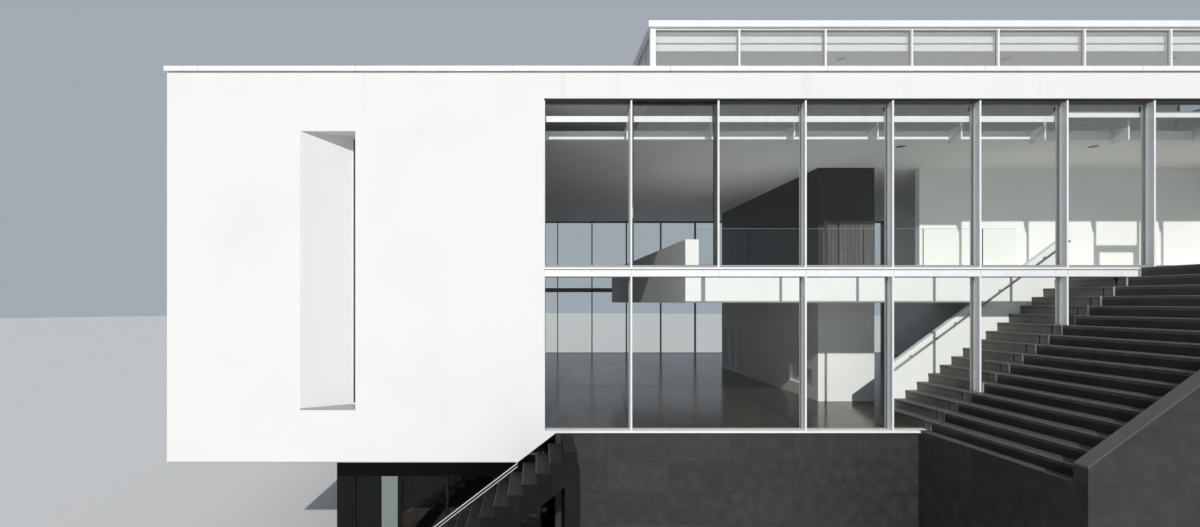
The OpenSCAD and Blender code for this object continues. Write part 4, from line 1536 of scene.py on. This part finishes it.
@dataclass
class StairStone(Assembly):
    """Riser slabs between the treads, and pale ground edges of the treads, whose paleness also paints
    the nosing highlight.
    """

    slot_y: tuple[float, float] = (0.1695, 0.2005)
    inner_gap: float = 0.005
    nosing: float = 0.015
    garden_gap: float = 0.005
    tread_t: float = 0.06
    slab_t: float = 0.01
    slab_out: float = 0.001
    slab: float = 1.0
    joint: float = 0.003
    first_joint: float = -0.17
    least: float = 0.02
    edge: float = 0.009
    proud: float = 0.001

    def flights(self) -> list[Flight]:
        """Finds where the steps of each flight show.

        Returns:
            The outer, the inner and the garden flight.
        """
        house = self.house
        main = (house.stair_start, house.riser, house.tread, house.riser, house.risers)
        low, high = house.box("outer_treads")
        _, inner_high = house.box("inner_treads")
        garden_low, garden_high = house.box("garden_treads")
        count = house.risers - 1
        riser = (garden_high.z - garden_low.z - self.tread_t) / (count - 1)
        tread = (garden_high.x - garden_low.x - self.nosing + self.garden_gap) / count
        foot = (garden_low.x + self.nosing, garden_low.z + self.tread_t)
        inner = ((self.inner_gap, self.slot_y[0]), (self.slot_y[1], inner_high.y))
        return [
            Flight("outer_treads", *main, ((low.y, high.y),)),
            Flight("inner_treads", *main, inner),
            Flight("garden_treads", *foot, tread, riser, count, ((garden_low.y, garden_high.y),)),
        ]

    def cuts(self, span: tuple[float, float], k: int) -> list[tuple[float, float]]:
        """Cuts a riser into slabs, with the joints shifted by half a slab at each second one.

        Args:
            span: where the riser starts and ends.
            k: its number.

        Returns:
            The start and end of each slab.
        """
        start, end = span
        shift = self.first_joint + self.slab * (0.5 if k % 2 else 0.0)
        first = math.ceil((start - shift) / self.slab)
        last = math.ceil((end - shift) / self.slab)
        marks = [shift + self.slab * j for j in range(first, last)]
        stops = [start, *(m for m in marks if start + self.least < m < end - self.least), end]
        return [(a + self.joint / 2, b - self.joint / 2) for a, b in zip(stops, stops[1:])]

    def risers(self, flight: Flight) -> Shape:
        """Makes the riser slabs of a flight.

        Args:
            flight: the flight.

        Returns:
            The slabs as one shape.
        """
        shape = Shape()
        for k in range(flight.count):
            x, z = flight.corner(k)
            foot = z - flight.riser + self.slab_out
            for y0, y1 in [cut for span in flight.spans for cut in self.cuts(span, k)]:
                shape.block(
                    (x - self.slab_t, y0, foot), (x + self.slab_out, y1, z - self.tread_t),
                    bevel=0.0015,
                )
        return shape

    def edges(self, flight: Flight) -> Shape:
        """Makes the pale front edges of a flight's treads: ground stone, and a painted highlight along
        the nosings.

        Args:
            flight: the flight.

        Returns:
            The edges as one shape.
        """
        shape = Shape()
        for k in range(flight.count):
            x, z = flight.corner(k)
            x -= self.nosing
            for y0, y1 in flight.spans:
                shape.block(
                    (x - self.proud, y0, z - self.edge), (x + self.edge, y1, z + self.proud),
                    bevel=self.edge * 0.3,
                )
        return shape

    def build(self) -> None:
        """Makes the riser slabs and edges of each flight."""
        for flight in self.flights():
            # Painted light and shade: the risers inside take a lighter copy of the stone, and the outer
            # and garden risers a near-black one.
            stone = "inner_risers_painted_light" if "inner" in flight.node else "stone_risers"
            # The pale edges paint the nosing highlight; the garden stair takes a darker copy of them,
            # painted shade.
            edge = "garden_stone_edge" if "garden" in flight.node else "ground_edge_and_highlight"
            stem = flight.node.replace("_treads", "")
            self.done(self.risers(flight), f"{stem}_risers", Slot.DARK_STONE, stone)
            self.done(self.edges(flight), f"{stem}_nosings", Slot.DARK_STONE, edge)


@dataclass
class GlassFoot(Assembly):
    """Metal strip that follows the steps at the outer foot of the glass."""

    width: float = 0.03
    plate: float = 0.003
    nosing: float = 0.015
    front: float = 0.008

    def build(self) -> None:
        """Makes the stepped strip."""
        house = self.house
        shape = Shape()
        for k in range(house.risers):
            x = house.stair_start + k * house.tread - self.nosing - self.plate
            z = (k + 1) * house.riser
            shape.block(
                (x, -self.width, z - house.riser + self.plate),
                (x + self.front, 0.0, z + self.plate), bevel=0.0008,
            )
            if k < house.risers - 1:
                shape.block(
                    (x + self.front, -self.width, z), (x + house.tread, 0.0, z + self.plate),
                    bevel=0.0008,
                )
        self.done(shape, "glass_foot_strip", Slot.STEEL, "brushed_steel")


@dataclass
class CheekCoping(Assembly):
    """Grey coping slabs along the top of the wall beside the stair and across its end."""

    thickness: float = 0.03
    slab: float = 1.0
    joint: float = 0.004
    end_t: float = 0.2

    def row(self, shape: Shape, start: Vector, end: Vector, across: Vector) -> None:
        """Lays slabs from one point to another.

        Args:
            shape: the shape that takes them.
            start: one upper corner of the wall at the row's start.
            end: the same corner at its end.
            across: the way over the wall's top.
        """
        count = max(1, round((end - start).length / self.slab))
        gap = (end - start).normalized() * self.joint / 2
        rise = UP * self.thickness
        for k in range(count):
            a = start.lerp(end, k / count) + gap
            b = start.lerp(end, (k + 1) / count) - gap
            shape.prism((a, b, b + rise, a + rise), across, bevel=0.003)

    def build(self) -> None:
        """Makes the coping slabs."""
        house = self.house
        low, high = house.box("cheek_wall")
        pitch = house.riser / house.tread
        foot = Vector((low.x, low.y, high.z - pitch * (house.stair_end - low.x)))
        knee = Vector((house.stair_end, low.y, high.z))
        corner = Vector((high.x - self.end_t, high.y, high.z))
        width = Vector((0.0, high.y - low.y, 0.0))
        shape = Shape()
        self.row(shape, foot, knee, width)
        self.row(shape, knee, Vector((high.x, low.y, high.z)), width)
        self.row(shape, corner, Vector((corner.x, 0.0, corner.z)), Vector((self.end_t, 0.0, 0.0)))
        self.done(shape, "cheek_coping", Slot.CONCRETE, "grey_coping_stone")


@dataclass
class RailFittings(Assembly):
    """Roses on the handrail's brackets, and caps on its ends."""

    count: int = 4
    drop: float = 0.13
    rose_r: float = 0.028
    rose_t: float = 0.006
    cap_r: float = 0.021
    cap_tip: float = 0.0147
    cap_t: float = 0.008

    def build(self) -> None:
        """Makes the roses and caps."""
        house = self.house
        low, high = house.box("stair_balustrade")
        rail_y = house.box("stair_handrail")[0].y + self.cap_r
        pitch = house.riser / house.tread
        start = Vector((low.x, rail_y, high.z - pitch * (high.x - low.x) - self.drop))
        end = Vector((high.x, rail_y, high.z - self.drop))
        way = (end - start).normalized()
        shape = Shape()
        for i in range(self.count):
            middle = start.lerp(end, (i + 0.5) / self.count)
            middle.y = low.y
            shape.rod(middle, middle - Vector((0.0, self.rose_t, 0.0)), self.rose_r, bevel=0.0015)
        for point, out in ((start, -way), (end, way)):
            shape.rod(point, point + out * self.cap_t, self.cap_r, self.cap_tip)
        self.done(shape, "handrail_fittings", Slot.STEEL, "brushed_steel")


# Upper floor


@dataclass
class GuardTrim(Assembly):
    """Foot channel, joints and ground top edge of the glass balustrades."""

    channel_h: float = 0.07
    channel_t: float = 0.012
    edge_h: float = 0.004
    edge_out: float = 0.0008
    joint_start: float = 4.41
    joint_pitch: float = 1.3
    joint_w: float = 0.004
    joint_out: float = 0.0006
    last: float = 0.3
    thickness: float = 0.021

    def guards(self) -> list[tuple[Vector, Vector]]:
        """Finds the front and the back balustrade.

        Returns:
            The lowest and highest corner of each.
        """
        low, high = self.house.box("gallery_guard")
        balustrade = self.house.box("stair_balustrade")[1]
        slope = self.house.riser / self.house.tread
        open_x = balustrade.x - (balustrade.z - self.house.storey) / slope
        front = (low, Vector((open_x, low.y + self.thickness, high.z)))
        return [front, (Vector((low.x, high.y - self.thickness, low.z)), high)]

    def build(self) -> None:
        """Makes the channels, joints and edges."""
        channels, joints, edges = Shape(), Shape(), Shape()
        for low, high in self.guards():
            foot, top = low.z + self.channel_h, high.z - self.edge_h
            for y in (low.y - self.channel_t, high.y):
                channels.block((low.x, y, low.z), (high.x, y + self.channel_t, foot), bevel=0.002)
            edges.block(
                (low.x, low.y - self.edge_out, top),
                (high.x, high.y + self.edge_out, high.z + self.edge_out),
            )
            x = self.joint_start
            while x < high.x - self.last:
                joints.block(
                    (x, low.y - self.joint_out, foot), (x + self.joint_w, high.y + self.joint_out, top)
                )
                x += self.joint_pitch
        self.done(channels, "guard_channels", Slot.WHITE_METAL, "white_coat")
        self.done(joints, "guard_joints", Slot.DARK_METAL, "black_rubber_and_painted_shade")
        self.done(edges, "guard_edges", Slot.GLASS, "grey_coat")


@dataclass
class CoreBoards(Assembly):
    """Upright boards of the panel in the front of the black core, with one wide dark gap."""

    board: float = 0.0965
    gap: float = 0.003
    dark_gap: tuple[float, float] = (7.305, 7.375)
    proud: float = 0.018
    recess: float = 0.04
    least: float = 0.02
    slack: float = 0.001

    def build(self) -> None:
        """Makes the boards."""
        low, high = self.house.box("core_panel")
        core_low, core_high = self.house.box("core_upper")
        front = core_low.y - self.proud
        gap_start, gap_end = self.dark_gap
        shape = Shape()
        x = low.x
        while x < core_high.x - self.least:
            end = min(x + self.board, core_high.x)
            after = end + self.gap
            if gap_start - self.board < x < gap_end - self.gap:
                end, after = gap_start, gap_end
            if x < end:
                back = core_low.y + (self.recess if end <= high.x + self.slack else 0.0)
                shape.block((x, front, low.z), (end, back, high.z), bevel=0.0015)
            x = after
        self.done(shape, "core_boards", Slot.GREY_BOARD, "grey_boards")


# Lower level


@dataclass
class StringerShadow(Assembly):
    """Dark sheet of painted shade on the web in the groove of the white stringer."""

    height: float = 0.075
    flange: float = 0.0105
    face: float = -0.0265
    sheet: float = 0.0014
    inset: float = 0.001

    def build(self) -> None:
        """Makes the sheet of painted shade."""
        low, high = self.house.box("garden_stringer")
        left, right = low.x + self.inset, high.x - self.inset
        drop = high.z - low.z - self.height
        foot, top = high.z - self.height + self.flange, high.z - self.flange
        outline = [
            (right, self.face, foot), (right, self.face, top),
            (left, self.face, top - drop), (left, self.face, foot - drop),
        ]
        shape = Shape()
        # Painted shade: a dark sheet where only shade falls on the stringer's web.
        shape.prism(outline, (0.0, self.sheet, 0.0))
        self.done(shape, "stringer_painted_shade", Slot.DARK_METAL, "black_rubber_and_painted_shade")


# Studio


@dataclass
class Studio:
    """Camera, soft light and pale floor."""

    house: House
    eye: Triple = (-0.174, -10.24, 2.466)
    focal_px: float = 535.6
    centre_px: tuple[float, float] = (535.0, 302.0)
    photo_px: tuple[float, float] = (1200.0, 527.0)
    sensor: float = 36.0
    clip_end: float = 500.0
    sun_way: Triple = (0.124, 1.0, -0.58)
    sun_energy: float = 3.0
    sun_colour: Triple = (1.0, 0.977, 0.95)
    sun_angle: float = 0.8
    sky: Colour = (0.80, 0.88, 1.0, 1.0)
    sky_strength: float = 0.46
    floor_r: float = 260.0

    def camera(self) -> None:
        """Puts the camera where the photograph was taken from."""
        width, height = self.photo_px
        data = bpy.data.cameras.new("camera")
        data.sensor_width = self.sensor
        data.lens = self.focal_px / width * self.sensor
        data.shift_x = (width / 2 - self.centre_px[0]) / width
        data.shift_y = (self.centre_px[1] - height / 2) / width
        data.clip_end = self.clip_end
        camera = linked("camera", data)
        camera.location = self.house.origin + Vector(self.eye)
        camera.rotation_euler = (math.pi / 2, 0.0, 0.0)
        bpy.context.scene.camera = camera

    def sun(self) -> None:
        """Adds the key light, from the upper left behind the camera."""
        data = bpy.data.lights.new("key_light", "SUN")
        data.energy = self.sun_energy
        data.angle = math.radians(self.sun_angle)
        data.color = self.sun_colour
        light = linked("key_light", data)
        light.rotation_euler = Vector(self.sun_way).to_track_quat("-Z", "Y").to_euler()

    def sky_light(self) -> None:
        """Adds a pale even light from all round."""
        world = bpy.data.worlds.new("pale_sky")
        world.use_nodes = True
        background = world.node_tree.nodes["Background"]
        background.inputs["Color"].default_value = self.sky
        background.inputs["Strength"].default_value = self.sky_strength
        bpy.context.scene.world = world

    def floor(self) -> None:
        """Lays a pale floor at the foot of the house."""
        mesh = bmesh.new()
        bmesh.ops.create_circle(mesh, cap_ends=True, segments=96, radius=self.floor_r)
        data = bpy.data.meshes.new("studio_floor")
        mesh.to_mesh(data)
        mesh.free()
        data.materials.append(StudioFloor("studio_floor").material())
        floor = linked("studio_floor", data)

    def build(self) -> None:
        """Builds the studio."""
        bpy.context.scene.view_settings.view_transform = "Standard"
        self.camera()
        self.sun()
        self.sky_light()
        self.floor()


ASSEMBLIES = (
    NicheSill, BaseBead, RoofEdge, RoofOutlets, Downlights, GlassSeals, PaintedShadeStrips, SlidingLeaf,
    BladeClamps, DoorFittings, StairStone, GlassFoot, CheekCoping, RailFittings, GuardTrim,
    CoreBoards, StringerShadow,
)


def main() -> None:
    """Dresses the house, adds its small pieces and sets up the studio."""
    logging.basicConfig(level=logging.INFO, format="%(message)s")
    house = House.from_frame()
    palette = Palette(house)
    palette.dress()
    for kind in ASSEMBLIES:
        group = kind(house, palette)
        group.build()
        for piece in group.made:
            log.info("%s: %d faces", piece.name, len(piece.data.polygons))
    Studio(house).build()


if __name__ == "__main__":
    main()
